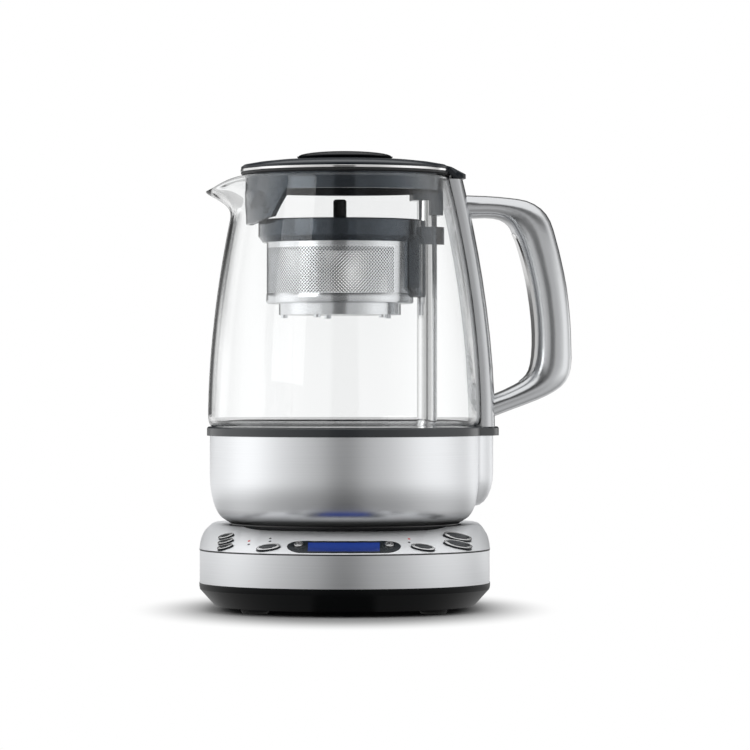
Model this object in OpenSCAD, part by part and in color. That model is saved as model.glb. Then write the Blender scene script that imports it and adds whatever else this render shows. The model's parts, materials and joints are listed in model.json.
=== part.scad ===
// Automatic tea maker: a glass jug with a motor-driven infuser basket, on a
// powered base with a sloped control deck. Millimetres, +Z up. The origin is on
// the floor under the middle of the whole appliance. The controls face -Y and
// the handle points to +X.

/* [Power base] */
// Width of the base, twice the radius of its round front
base_w = 172; // [168:1:180]
// Depth of the base from front to back
base_d = 194; // [188:1:206]
// Corner radius at the back of the base
base_corner_r = 38; // [25:1:50]
// Height of the rubber feet
foot_h = 3; // [2:0.5:5]
// Diameter of a rubber foot
foot_d = 16; // [12:1:20]
// Height of the black pan
pan_h = 13.5; // [12:0.5:18]
// Height of the chamfer round the bottom of the pan
pan_chamfer_h = 9.8; // [6:0.2:11]
// Inward run of the chamfer round the bottom of the pan
pan_chamfer_in = 9.3; // [6:0.1:12]
// Wall and floor thickness of the pan
pan_wall = 2.4; // [2:0.1:3]
// Height of the steel skirt band
skirt_h = 19.5; // [16:0.5:26]
// Sheet thickness of the skirt band
skirt_wall = 1.2; // [0.8:0.1:2]
// Height of the control deck above the skirt
deck_h = 14; // [12:0.5:16]
// Wall thickness of the deck, measured straight down
deck_wall = 2.2; // [1.8:0.1:2.6]
// Height of the small upright lip at the front edge of the deck
deck_lip = 0.4; // [0.2:0.1:1]
// Slope of the control panel in degrees
panel_tilt = 18.5; // [15:0.5:22]
// Inward run of the rounded top edge of the deck
deck_round_in = 8; // [5:0.5:10]
// Depth of the round dish that the jug stands in
dish_depth = 1.8; // [1:0.1:2.5]
// Gap between the jug foot and the wall of the dish
dish_gap = 1.5; // [0.8:0.1:3]
// Diameter of the hole in the cord gland
cord_hole_d = 7; // [5:0.5:9]

/* [Controls] */
// Button travel
button_travel = 0.8; // [0.4:0.1:1]
// Gap round each button in its hole
button_gap = 0.3; // [0.2:0.05:0.5]
// Height of the button crown above the deck
button_rise = 1; // [0.6:0.1:1.6]
// Length of a small oval button
small_button_w = 11; // [9:0.5:12]
// Depth of a small oval button
small_button_d = 5.6; // [4.5:0.1:6]
// Length of the two middle oval buttons
oval_button_w = 14.4; // [12:0.2:16]
// Depth of the two middle oval buttons
oval_button_d = 8.6; // [7:0.2:9.2]
// Length of a large oval button
large_button_w = 20; // [16:0.5:21]
// Depth of a large oval button
large_button_d = 9.6; // [8:0.2:10.2]
// Width of a minus or plus button
step_button_w = 5.4; // [4.5:0.1:6]
// Depth of a minus or plus button
step_button_d = 7.6; // [6:0.2:8.4]
// Distance of the minus and plus buttons from the middle
step_button_x = 26; // [25.5:0.1:27]
// Length of the display bezel
bezel_w = 65.6; // [64:0.2:68]
// Depth of the display bezel up the slope
bezel_d = 18.4; // [17:0.2:19]
// Length of the display window
window_w = 41.4; // [36:0.2:42]
// Depth of the display window
window_d = 14.4; // [12:0.2:15]
// Diameter of an indicator light
light_d = 1.5; // [1:0.1:2]

/* [Jug] */
// Bottom radius of the black jug foot
jug_foot_r = 63.5; // [60:0.5:64]
// Thickness of the jug foot
jug_foot_h = 2.7; // [2:0.1:4]
// Bottom radius of the steel shell
shell_bottom_r = 67.8; // [66:0.1:69]
// Largest radius of the steel shell
shell_r = 80.3; // [79:0.1:82]
// Height of the steel shell
shell_h = 52; // [50:0.5:60]
// Sheet thickness of the steel shell
shell_wall = 1.2; // [0.8:0.1:1.6]
// Height of the black band between shell and glass
band_h = 5.3; // [4:0.1:7]
// Outer radius of the black band
band_r = 82; // [81.8:0.1:83]
// Largest outer radius of the glass
glass_r = 81.5; // [81:0.1:81.8]
// Outer radius of the glass at its rim
glass_rim_r = 62.5; // [61.5:0.1:63]
// Height of the glass above the band
glass_rise = 149; // [146:0.5:152]
// Glass wall thickness
glass_wall = 2.4; // [2:0.1:2.8]
// How far the spout reaches out past the rim circle
spout_reach = 16.5; // [12:0.5:18]
// How far the tip of the spout lies below the rim
spout_drop = 10.7; // [8:0.1:12]
// Half the angle that the spout takes up on the rim
spout_half_angle = 34; // [28:1:40]
// Turn of the jug on its base in degrees, handle to the back
jug_turn = 6; // [0:1:12]

/* [Handle] */
// Width of the spine along the glass
spine_w = 40; // [34:1:44]
// Thickness of the spine over the glass
spine_t = 8; // [6:0.5:10]
// Width of the grip across the hand
grip_w = 28; // [24:1:32]
// Width of the bright inlay inside the grip
inlay_w = 15; // [10:0.5:17]
// Thickness of the bright inlay inside the grip
inlay_t = 1.6; // [1:0.1:2.4]
// Reach of the grip from the jug axis
grip_reach = 135.7; // [128:0.1:142]

/* [Lid] */
// Radius of the lid
lid_r = 62; // [61.5:0.1:62.6]
// Height of the black lid seal
lid_seal_h = 1.8; // [1.4:0.1:2.4]
// Height of the polished trim ring
trim_h = 1.9; // [1.4:0.1:2.4]
// Rise of the lid dome above the trim ring
dome_h = 5.9; // [4:0.1:7]
// Radius of the lid knob
knob_r = 28.6; // [24:0.2:32]
// Height of the lid knob above the dome
knob_h = 4.7; // [3.5:0.1:7]
// Outer radius of the lid skirt inside the glass
lid_skirt_r = 58.5; // [57:0.1:59]
// Height of the lid skirt below the glass rim
lid_skirt_h = 9.5; // [8:0.1:11]
// How far the strainer hangs below the lid skirt
strainer_drop = 19.5; // [14:0.5:22]
// Number of rows of holes in each strainer window
strainer_rows = 7; // [4:1:9]
// Thickness of the tail that covers the top of the spine
tail_t = 2.6; // [2:0.1:3.4]

/* [Infuser basket] */
// Distance of the basket's axis from the jug's axis
basket_off = 3; // [2:0.5:4]
// Outer radius of the basket collar
collar_r = 48.5; // [47:0.1:49]
// Height of the basket collar
collar_h = 10; // [8:0.5:12]
// Radius of the perforated drum
drum_r = 43.5; // [42:0.1:44.5]
// Height of the drum below the collar
drum_h = 39.7; // [36:0.1:42]
// Height of the plain band at the foot of the drum
drum_band_h = 6; // [4:0.5:8]
// Sheet thickness of the drum
drum_wall = 0.8; // [0.6:0.1:1.2]
// Radius of the lower ring
ring_r = 36.3; // [34:0.1:38]
// Height of the lower ring
ring_h = 6.6; // [5:0.1:8]
// Height of the basket collar top below the glass rim
collar_below_rim = 26.4; // [26:0.2:32]
// Diameter of the basket lid's stem
stem_d = 7.9; // [6:0.1:10]
// Height of the basket lid's stem above the collar
stem_h = 12.2; // [8:0.2:13]
// Travel of the basket down its post
basket_travel = 58; // [50:1:60]

/* [Lift drive] */
// Distance of the lift post from the jug axis
post_x = 49.3; // [48:0.1:50]
// Outer diameter of the lift post
post_d = 12; // [11:0.1:12.6]
// Wall of the lift post
post_wall = 0.8; // [0.6:0.1:1.2]
// Running clearance between the basket lug and the post
lug_gap = 0.1; // [0.08:0.01:0.2]
// Diameter of the lead screw
screw_d = 4; // [3:0.1:5]
// Diameter of the lift motor
motor_d = 24; // [20:1:28]
// Height of the lift motor
motor_h = 30; // [24:1:34]

/* [Hidden] */

$fn = 96;
hull_fn = 48;
fit = 0.3;          // space between pieces on different bodies
seat = 0.05;        // space round a piece pressed into its own body
eps = 0.01;
deck_side_wall = 2.2;

// Heights, from the floor up
pan_z = foot_h;
skirt_z = pan_z + pan_h;
deck_z = skirt_z + skirt_h;
deck_top = deck_z + deck_h;
dish_z = deck_top - dish_depth;
jug_z = dish_z + 0.15;
shell_z = jug_z + jug_foot_h;
band_z = shell_z + shell_h;
band_top = band_z + band_h;
rim_z = band_top + glass_rise;
lid_z = rim_z + 0.3;
trim_z = lid_z + lid_seal_h;
cover_z = trim_z + trim_h;
knob_z = cover_z + dome_h;
collar_top = rim_z - collar_below_rim;
collar_z = collar_top - collar_h;
drum_z = collar_z - drum_h;
ring_z = drum_z - ring_h;

// Plan of the base: round front, straight sides, rounded back corners
front_r = base_w / 2;
front_y = -base_d / 2 + front_r;
slope = tan(panel_tilt);
// How far the jug axis lies behind the middle of the base
axis_y = 3;

module base_place() {
    translate([axis_x, 0, 0]) children();
}

module jug_place() {
    translate([axis_x, axis_y, 0]) rotate([0, 0, jug_turn]) children();
}

module basket_place() {
    jug_place() translate([-basket_off, 0, 0]) children();
}

module post_place() {
    jug_place() translate([post_x, 0, 0]) children();
}

module tube(r_out, r_in, h) {
    difference() {
        cylinder(r = r_out, h = h);
        translate([0, 0, -eps]) cylinder(r = r_in, h = h + 2 * eps);
    }
}

// Plan outline of the base, drawn in by inset
module base_outline(inset = 0) {
    r = front_r - inset;
    corner = base_corner_r - inset;
    back = base_d / 2 - inset;
    translate([0, front_y]) circle(r = r);
    translate([-r, front_y]) square([2 * r, back - corner - front_y]);
    translate([-(r - corner), front_y]) square([2 * (r - corner), back - front_y]);
    for (side = [-1, 1]) translate([side * (r - corner), back - corner]) circle(r = corner);
}

// The part of the plan behind a front edge that has moved back by shift
module behind_front(shift) {
    translate([0, front_y + shift]) circle(r = front_r);
    translate([-front_r, front_y + shift]) square([base_w, base_d]);
}

// Inward run of the deck's rounded side at height h above the skirt
function side_round(h) = deck_round_in * (1 - sqrt(max(0, 1 - pow(h / deck_h, 2))));

// The deck as a solid: each level is the base plan, drawn in at the sides and
// moved back at the front, so that the panel follows the round front edge
deck_levels = 6;
module deck_form(drop = 0) {
    hull() {
        for (i = [0 : deck_levels]) {
            h = deck_h * (1 - pow(1 - i / deck_levels, 1.6));
            back_shift = max(0, h - deck_lip) / slope;
            translate([0, 0, deck_z + h - drop - eps]) linear_extrude(eps) intersection() {
                base_outline(side_round(h), $fn = hull_fn);
                behind_front(back_shift, $fn = hull_fn);
            }
        }
        translate([0, 0, deck_z - drop - 1]) linear_extrude(eps) base_outline($fn = hull_fn);
    }
}

// The deck's solid dropped below its surface, inside side walls of a given thickness
module deck_inside(drop, side_wall) {
    intersection() {
        deck_form(drop);
        translate([0, 0, skirt_z]) linear_extrude(deck_top) base_outline(side_wall, $fn = hull_fn);
    }
}

// A thin layer of the deck's surface, from drop_top to drop_bottom below it
module deck_layer(drop_top, drop_bottom) {
    difference() {
        deck_inside(drop_top, deck_side_wall);
        deck_form(drop_bottom);
    }
}

// Front edge of the deck at x, and the lean of the surface there
function edge_y(x) = front_y - sqrt(front_r * front_r - x * x);
function edge_slope(x) = x / sqrt(front_r * front_r - x * x);
function unit(v) = v / norm(v);
function deck_normal(x) = unit([slope * edge_slope(x), -slope, 1]);

// Puts children on the deck at x, a distance up the slope from the front edge,
// with +Z square to the surface and +X turned in plan by turn
module on_deck(x, up, turn = 0) {
    n = deck_normal(x);
    along = unit([cos(turn), sin(turn), slope * (sin(turn) - edge_slope(x) * cos(turn))]);
    across = cross(n, along);
    at = [x, edge_y(x) + up * cos(panel_tilt), deck_z + deck_lip + up * sin(panel_tilt)];
    multmatrix([
        [along.x, across.x, n.x, at.x],
        [along.y, across.y, n.y, at.y],
        [along.z, across.z, n.z, at.z]
    ]) children();
}

module ellipse(w, d, sides = 40) {
    polygon([for (i = [0 : sides - 1]) [w / 2 * cos(i * 360 / sides), d / 2 * sin(i * 360 / sides)]]);
}

module rounded_box(size, r) {
    linear_extrude(size.z) {
        translate([-size.x / 2 + r, -size.y / 2]) square([size.x - 2 * r, size.y]);
        translate([-size.x / 2, -size.y / 2 + r]) square([size.x, size.y - 2 * r]);
        for (sx = [-1, 1], sy = [-1, 1]) {
            translate([sx * (size.x / 2 - r), sy * (size.y / 2 - r)]) circle(r = r, $fn = 32);
        }
    }
}

// ---------------------------------------------------------------- controls

// [x, distance up the slope, turn in plan, width, depth]
small_x = -(front_r - 17);
large_x = front_r - 20;
LEFT_UPPER = [small_x, 25, -34, small_button_w, small_button_d];
LEFT_MIDDLE = [small_x, 16.2, -34, small_button_w, small_button_d];
LEFT_LOWER = [small_x, 7.4, -34, small_button_w, small_button_d];
LEFT_OVAL = [-43.5, 9, -14, oval_button_w, oval_button_d];
RIGHT_OVAL = [45.5, 9, 14, oval_button_w, oval_button_d];
MINUS = [-step_button_x, 14.6, 0, step_button_w, step_button_d];
PLUS = [step_button_x, 14.6, 0, step_button_w, step_button_d];
LARGE_UPPER = [large_x, 24.5, 36, large_button_w, large_button_d];
LARGE_LOWER = [large_x, 11.6, 36, large_button_w, large_button_d];
DECK_BUTTONS = [LEFT_UPPER, LEFT_MIDDLE, LEFT_LOWER, LEFT_OVAL, RIGHT_OVAL, LARGE_UPPER, LARGE_LOWER];
BEZEL_BUTTONS = [MINUS, PLUS];
ALL_BUTTONS = concat(DECK_BUTTONS, BEZEL_BUTTONS);
bezel_up = 12.1;
// Indicator lights: x and distance up the slope
LIGHTS = [
    [-55.2, 19.7], [-55.2, 14.2], [-42.8, 24.8], [-42.8, 20], [-42.8, 15.2], [37.6, 24.3], [37.6, 18.8]
];

flange_w = 0.7;       // how far a button's flange spreads under its hole
flange_t = 1;
carrier_drop = 11;    // depth of the switch carrier below the deck, straight down
carrier_t = 1.6;
switch_h = 3;
switch_w = 6;
function wall_square(x) = deck_wall * deck_normal(x).z;
function carrier_depth(x) = carrier_drop * deck_normal(x).z;
function bottom_of_stem(x) = -(carrier_depth(x) - switch_h - button_travel - 0.15);

// How far the curved deck falls below the flat at the ends of a button's flange
function button_sag(b) = let (
    x = abs(b[0]),
    run = (b[3] / 2 + flange_w) * cos(b[2])
) slope * deck_normal(x).z * (edge_y(x + run) - edge_y(x) - edge_slope(x) * run);

module button_cap(b) {
    x = b[0];
    flange_z = -wall_square(x) - flange_t - 0.25 - button_sag(b);
    crown_r = b[3] * 1.4;
    on_deck(b[0], b[1], b[2]) {
        intersection() {
            translate([0, 0, flange_z]) linear_extrude(button_rise - flange_z) ellipse(b[3], b[4]);
            translate([0, 0, button_rise - crown_r]) sphere(r = crown_r);
        }
        translate([0, 0, flange_z]) linear_extrude(flange_t) {
            ellipse(b[3] + 2 * flange_w, b[4] + 2 * flange_w);
        }
        translate([0, 0, bottom_of_stem(x)]) cylinder(r = 1.4, h = flange_z - bottom_of_stem(x) + eps);
    }
}

module button_hole(b) {
    on_deck(b[0], b[1], b[2]) translate([0, 0, -6]) linear_extrude(10) {
        ellipse(b[3] + 2 * button_gap, b[4] + 2 * button_gap);
    }
}

module left_button_upper() color("#4a4f54") base_place() button_cap(LEFT_UPPER);
module left_button_middle() color("#4a4f54") base_place() button_cap(LEFT_MIDDLE);
module left_button_lower() color("#4a4f54") base_place() button_cap(LEFT_LOWER);
module left_oval_button() color("#3a3f44") base_place() button_cap(LEFT_OVAL);
module right_oval_button() color("#3a3f44") base_place() button_cap(RIGHT_OVAL);
module minus_button() color("#b9bdc1") base_place() button_cap(MINUS);
module plus_button() color("#b9bdc1") base_place() button_cap(PLUS);
module large_button_upper() color("#4f555b") base_place() button_cap(LARGE_UPPER);
module large_button_lower() color("#4f555b") base_place() button_cap(LARGE_LOWER);

// Plan points that keep their distance from the round front edge
function bent(p) = [p.x, edge_y(p.x) + (bezel_up + p.y) * cos(panel_tilt)];

// Long oval that follows the front edge, cut straight down
module bent_capsule(w, d) {
    r = d / 2;
    flat = w / 2 - r;
    ends = [for (side = [1, -1], a = [-90 : 15 : 90]) [side * (flat + r * cos(a)), side * r * sin(a)]];
    along = [for (i = [1 : 7]) flat * (1 - i / 4)];
    polygon([for (p = concat(
        [for (i = [0 : 12]) ends[i]], [for (x = along) [x, r]],
        [for (i = [13 : 25]) ends[i]], [for (x = along) [-x, -r]]
    )) bent(p)]);
}

// Window that follows the front edge
module bent_window(w, d) {
    xs = [for (i = [-4 : 4]) i * w / 8];
    polygon([for (p = concat([for (x = xs) [x, -d / 2]], [for (x = xs) [-x, d / 2]])) bent(p)]);
}

module display_bezel() {
    color("#1d2023") base_place() difference() {
        intersection() {
            translate([0, 0, deck_z - 5]) linear_extrude(30) bent_capsule(bezel_w, bezel_d);
            deck_layer(-0.25, deck_wall);
        }
        translate([0, 0, deck_z - 6]) linear_extrude(32) bent_window(window_w, window_d);
        for (b = BEZEL_BUTTONS) button_hole(b);
    }
}

module display_lens() {
    color("#1c2f86") base_place() intersection() {
        translate([0, 0, deck_z - 5]) linear_extrude(30) {
            bent_window(window_w - 2 * seat, window_d - 2 * seat);
        }
        deck_layer(0, 1.4);
    }
}

module display_module() {
    // stands on the switch carrier and stops short of the bezel's underside
    top = -deck_wall - 1.4;
    bottom = -carrier_depth(0) + 0.2;
    color("#2a2d30") base_place() on_deck(0, bezel_up) {
        translate([0, 0, bottom]) rounded_box([window_w + 1.6, window_d + 1.6, top - bottom], 1);
    }
}

module tact_switches() {
    color("#24272a") base_place() for (b = ALL_BUTTONS) {
        on_deck(b[0], b[1], b[2]) translate([0, 0, -carrier_depth(b[0]) - 0.8]) {
            translate([-switch_w / 2, -switch_w / 2, 0]) cube([switch_w, switch_w, switch_h + 0.5]);
            cylinder(r = 1.7, h = switch_h + 0.8);
        }
    }
}

// Curved tray that carries the switches and the display under the deck
module switch_carrier() {
    color("#1f5a35") base_place() difference() {
        intersection() {
            deck_layer(carrier_drop, carrier_drop + carrier_t);
            translate([0, 0, deck_z - 20]) linear_extrude(30) difference() {
                base_outline(5);
                translate([0, axis_y]) circle(r = 54);
                translate([-base_w, -14]) square([2 * base_w, base_d]);
            }
        }
        for (b = ALL_BUTTONS) on_deck(b[0], b[1], b[2]) {
            translate([-switch_w / 2 - seat, -switch_w / 2 - seat, -carrier_depth(b[0]) - 0.8]) {
                cube([switch_w + 2 * seat, switch_w + 2 * seat, 5]);
            }
        }
        // the deck's screw posts pass through and hold it
        for (p = SCREWS) translate([p.x, p.y, pan_z]) cylinder(r = boss_r + seat, h = deck_top);
    }
}

light_depth = deck_wall;

module indicator_lights() {
    color("#b02a22") base_place() for (p = LIGHTS) {
        on_deck(p[0], p[1]) translate([0, 0, -light_depth]) {
            cylinder(d = light_d, h = light_depth + 0.15, $fn = 24);
        }
    }
}

// -------------------------------------------------------------- power base

FEET = [[-60, 62], [60, 62], [-52, -48], [52, -48]];
SCREWS = [[-66, 34], [66, 34], [-66, -20], [66, -20]];
socket_r = 13;
socket_rise = 8;
socket_flange_r = 21;
pin_hole_r = 3;
groove_in = 7.4;
groove_out = 10.2;
gland_z = 26;
screw_r = 1.5;
screw_head_r = 3;
boss_r = 4.2;
boss_top = 18;

module rubber_feet() {
    color("#15171a") base_place() for (p = FEET) translate([p.x, p.y, 0]) {
        rotate_extrude() polygon([
            [0, 0], [foot_d / 2 - 1, 0], [foot_d / 2, 1], [foot_d / 2, foot_h],
            [2.5 - seat, foot_h], [2.5 - seat, foot_h + pan_wall], [0, foot_h + pan_wall]
        ]);
    }
}

// Chamfered tray block; inset by the wall for its cavity
module pan_block(inset, z0, z1) {
    hull() {
        translate([0, 0, z0]) linear_extrude(eps) {
            base_outline(pan_chamfer_in + inset, $fn = 64);
        }
        translate([0, 0, pan_z + pan_chamfer_h]) linear_extrude(eps) base_outline(inset + 0.4, $fn = 64);
        translate([0, 0, z1 - 2]) linear_extrude(eps) base_outline(inset, $fn = 64);
        translate([0, 0, z1 - eps]) linear_extrude(eps) base_outline(inset, $fn = 64);
    }
}

module base_pan() {
    color("#191b1e") base_place() difference() {
        union() {
            difference() {
                pan_block(0, pan_z, skirt_z);
                pan_block(pan_wall, pan_z + pan_wall, skirt_z + 1);
            }
            for (p = SCREWS) translate([p.x, p.y, pan_z + 1]) {
                cylinder(r = boss_r + 1.2, h = boss_top - pan_z - 1);
            }
            for (p = [[-26, 22], [26, 22], [-26, 62], [26, 62]]) {
                translate([p.x, p.y, pan_z + 1]) cylinder(r = 3, h = 6, $fn = 32);
            }
        }
        for (p = FEET) translate([p.x, p.y, 0]) cylinder(r = 2.5, h = pan_z + pan_wall + 1);
        for (p = SCREWS) translate([p.x, p.y, 0]) {
            cylinder(r = screw_head_r + 0.4, h = boss_top - 4);
            cylinder(r = screw_r + 0.2, h = boss_top + 1);
        }
        // drain slots under the middle
        for (i = [-2 : 2]) translate([i * 8 - 1.5, -14, 0]) cube([3, 22, 12]);
    }
}

module base_skirt() {
    color("#b8bbbe") base_place() difference() {
        translate([0, 0, skirt_z]) linear_extrude(skirt_h) difference() {
            base_outline(0.3);
            base_outline(0.3 + skirt_wall);
        }
        translate([0, base_d / 2 + 5, gland_z]) rotate([90, 0, 0]) cylinder(r = 6.2, h = 20);
    }
}

module control_deck() {
    post_bottom = boss_top + 0.1;
    color("#c4c7ca") base_place() difference() {
        union() {
            difference() {
                deck_form();
                translate([0, 0, deck_z - 3]) cube([300, 300, 6], center = true);
                difference() {
                    deck_inside(deck_wall, deck_side_wall);
                    translate([0, axis_y, dish_z - deck_wall]) cylinder(r = shell_bottom_r + 3, h = 10);
                }
            }
            for (p = SCREWS) translate([p.x, p.y, post_bottom]) {
                cylinder(r = boss_r, h = dish_z - post_bottom - 0.1);
            }
        }
        // dish for the jug foot, and the opening for the connector
        translate([0, axis_y, dish_z]) cylinder(r = shell_bottom_r + dish_gap, h = 10);
        translate([0, axis_y, dish_z - 10]) cylinder(r = socket_r + 0.1, h = 20);
        for (b = DECK_BUTTONS) button_hole(b);
        for (p = LIGHTS) on_deck(p[0], p[1]) translate([0, 0, -5]) {
            cylinder(d = light_d + 0.06, h = 8, $fn = 24);
        }
        translate([0, 0, deck_z - 5]) linear_extrude(30) {
            bent_capsule(bezel_w + 2 * seat, bezel_d + 2 * seat);
        }
        for (p = SCREWS) translate([p.x, p.y, 0]) cylinder(r = screw_r + seat, h = dish_z - 4);
    }
}

module connector_socket() {
    top = dish_z + socket_rise;
    flange_z = dish_z - deck_wall - 3;
    color("#17191b") base_place() translate([0, axis_y, 0]) difference() {
        union() {
            translate([0, 0, flange_z]) cylinder(r = socket_flange_r, h = 3);
            rotate_extrude() polygon([
                [0, flange_z], [socket_r, flange_z], [socket_r, top - 1], [socket_r - 1, top], [0, top]
            ]);
        }
        translate([0, 0, top - 9]) cylinder(r = pin_hole_r, h = 10);
        translate([0, 0, top - 7]) tube(groove_out, groove_in, 8);
    }
}

module power_board() {
    color("#1f5a35") base_place() translate([-33, 15, pan_z + 7]) difference() {
        cube([66, 54, 1.6]);
        for (x = [7, 59], y = [7, 47]) translate([x, y, -1]) cylinder(r = 1.6, h = 4);
    }
}

module mains_relay() {
    color("#2a4b8f") base_place() translate([-24, 40, pan_z + 8.6]) cube([15, 18, 16]);
}

module transformer() {
    color("#c8a13a") base_place() translate([8, 32, pan_z + 8.6]) {
        cube([20, 24, 14]);
        translate([3, -3, 3]) cube([14, 30, 8]);
    }
}

module cord_gland() {
    color("#131517") base_place() translate([0, base_d / 2 - 0.3, gland_z]) rotate([90, 0, 0]) difference() {
        union() {
            translate([0, 0, skirt_wall + 0.02]) cylinder(r = 8.5, h = 2.4);
            translate([0, 0, -0.28]) cylinder(r = 6.15, h = skirt_wall + 1);
        }
        translate([0, 0, -1]) cylinder(d = cord_hole_d, h = 8);
    }
}

module base_screws() {
    color("#8d9094") base_place() for (p = SCREWS) translate([p.x, p.y, boss_top - 6.2]) {
        cylinder(r = screw_head_r, h = 2.2);
        cylinder(r = screw_r, h = 16);
    }
}

// --------------------------------------------------------------- jug shell

// Radius of the steel shell's lower curve at height h above its bottom edge
curve_h = 29;
chamfer_h = 2.6;
chamfer_in = 3.6;
curve_start_r = shell_bottom_r + chamfer_in;
function shell_curve(h) = curve_start_r - 1.6
    + (shell_r - curve_start_r + 1.6) * sqrt(1 - pow((curve_h - h) / (curve_h - chamfer_h + 0.6), 2));

module shell_profile(inset) {
    r0 = shell_bottom_r - inset;
    polygon(concat(
        [[0, shell_z], [r0, shell_z]],
        [for (i = [0 : 9]) let (h = chamfer_h + (curve_h - chamfer_h) * pow(i / 9, 1.5))
            [shell_curve(h) - inset, shell_z + h]],
        [[shell_r - inset, band_z], [0, band_z]]
    ));
}

// Vertical swelling of the shell that carries the spine
bulge_x = 62.7;
bulge_r = 26;
module bulge_profile(inset) {
    polygon(concat(
        [[0, shell_z + 8]],
        [for (a = [0 : 15 : 90]) [
            bulge_r - inset - 11 * (1 - sin(a)),
            shell_z + 10 + 20 * (1 - cos(a))
        ]],
        [[bulge_r - inset, band_z], [0, band_z]]
    ));
}

module jug_foot() {
    color("#121416") jug_place() translate([0, 0, jug_z]) difference() {
        rotate_extrude() polygon([
            [0, 0], [jug_foot_r, 0], [shell_bottom_r - 0.4, jug_foot_h - 0.6],
            [shell_bottom_r - 0.4, jug_foot_h], [0, jug_foot_h]
        ]);
        translate([0, 0, -1]) cylinder(r = 16.5, h = 10);
        // locating recess round the connector
        translate([0, 0, -1]) tube(60, 56, 1.8);
    }
}

module connector_plug() {
    color("#1b1d20") jug_place() translate([0, 0, jug_z]) {
        difference() {
            union() {
                cylinder(r = 16.4, h = 12);
                translate([0, 0, jug_foot_h]) cylinder(r = 24, h = 2.4);
            }
            translate([0, 0, -1]) cylinder(r = socket_r + 0.6, h = socket_rise + 1.6);
        }
        // centre pin and contact ring
        translate([0, 0, 2]) cylinder(r = pin_hole_r - 0.5, h = 8);
        translate([0, 0, 3]) tube(groove_out - 0.6, groove_in + 0.6, 7);
    }
}

module jug_shell() {
    color("#b9bcc0") jug_place() difference() {
        union() {
            rotate_extrude() shell_profile(0);
            translate([bulge_x, 0, 0]) rotate_extrude() bulge_profile(0);
        }
        rotate_extrude() shell_profile(shell_wall);
        translate([bulge_x, 0, 0]) rotate_extrude() bulge_profile(shell_wall);
        translate([0, 0, shell_z - eps]) cylinder(r = shell_bottom_r - shell_wall, h = 4);
        translate([0, 0, band_z - 1]) cylinder(r = shell_r - shell_wall, h = 2);
    }
}

module jug_band() {
    lobe_r = bulge_r + 2.4;
    color("#17191b") jug_place() translate([0, 0, band_z]) difference() {
        union() {
            rotate_extrude() polygon([
                [plate_r - 2, 0], [band_r, 0], [band_r, band_h - 0.8], [band_r - 0.8, band_h],
                [plate_r - 2, band_h]
            ]);
            translate([bulge_x + 1, 0, 0]) rotate_extrude() polygon([
                [0, 0], [lobe_r, 0], [lobe_r, band_h - 0.8], [lobe_r - 0.8, band_h], [0, band_h]
            ]);
        }
        translate([0, 0, 1.4]) cylinder(r = seal_r, h = band_h);
        translate([0, 0, -1]) cylinder(r = plate_r - 2, h = 4);
    }
}

// The seal's ledge inside the band, and the plate inside the seal
seal_r = glass_r - 2.1;
plate_r = seal_r - 4.4;
glass_foot_z = band_z + 2.4;

module glass_seal() {
    color("#2b2e31") jug_place() translate([0, 0, band_z + 1.4]) difference() {
        cylinder(r = seal_r - seat, h = band_h - 1.4);
        translate([0, 0, 1]) tube(seal_r - 0.6, seal_r - 0.6 - glass_wall, band_h);
        translate([0, 0, -1]) cylinder(r = plate_r + seat, h = band_h + 2);
    }
}

module heater_plate() {
    color("#c9ccd0") jug_place() translate([0, 0, band_z + 1.4]) difference() {
        rotate_extrude() polygon([
            [0, 1.6], [plate_r - 6, 1.6], [plate_r - 3, 0], [plate_r, 0], [plate_r, 1.2],
            [plate_r - 2.6, 1.2], [plate_r - 5.4, 2.8], [0, 2.8]
        ]);
        translate([post_x, 0, -1]) cylinder(d = post_d + 2 * seat, h = 6);
        cylinder(r = 4 + seat, h = 12, center = true);
    }
}

module heating_element() {
    element_z = band_z + 3 - 3.4;
    color("#70747a") jug_place() translate([0, 0, element_z]) {
        rotate([0, 0, 36]) rotate_extrude(angle = 288) translate([46, 0]) circle(r = 3.4, $fn = 32);
        for (side = [-1, 1]) rotate([0, 0, side * 36]) translate([46, 0, -16]) {
            cylinder(r = 2.4, h = 16, $fn = 32);
        }
    }
}

module temperature_sensor() {
    // its tip is all but level with the plate
    color("#9b9ea3") jug_place() translate([0, 0, band_z - 8]) {
        cylinder(r = 4, h = 12);
        translate([0, 0, 12]) cylinder(r1 = 4, r2 = 3, h = 0.7);
        cylinder(r = 7, h = 6);
    }
}

// --------------------------------------------------------------- glass jug

glass_knee = 3.5;     // height above the band where the glass starts to narrow
function glass_wall_r(z) = glass_r
    - (glass_r - glass_rim_r) * pow(max(0, z - band_top - glass_knee) / (glass_rise - glass_knee), 1.86);
function smooth(t) = t * t * (3 - 2 * t);
function clamp(t) = min(1, max(0, t));
// How far round the spout the rim is at angle a; 1 at the tip, 0 away from it
function spout_share(a) = pow(smooth(clamp(1 - abs(a - 180) / spout_half_angle)), 1.15);
spout_depth = 21.5;   // height of the throat that runs out into the spout
function rim_height(a) = rim_z - spout_drop * pow(spout_share(a), 2.3);
function spout_out(z, a) = spout_share(a) * (spout_reach + 2.4)
    * pow(clamp((z - rim_z + spout_depth) / (spout_depth - spout_drop)), 1.5);
function glass_point(a, z, inset) = let (r = glass_wall_r(z) + spout_out(z, a) - inset)
    [r * cos(a), r * sin(a), z];
GLASS_LEVELS = [0, 0.2, 0.4, 0.57, 0.72, 0.82, 0.88, 0.92, 0.95, 0.975, 1];
glass_sides = 80;

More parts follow.
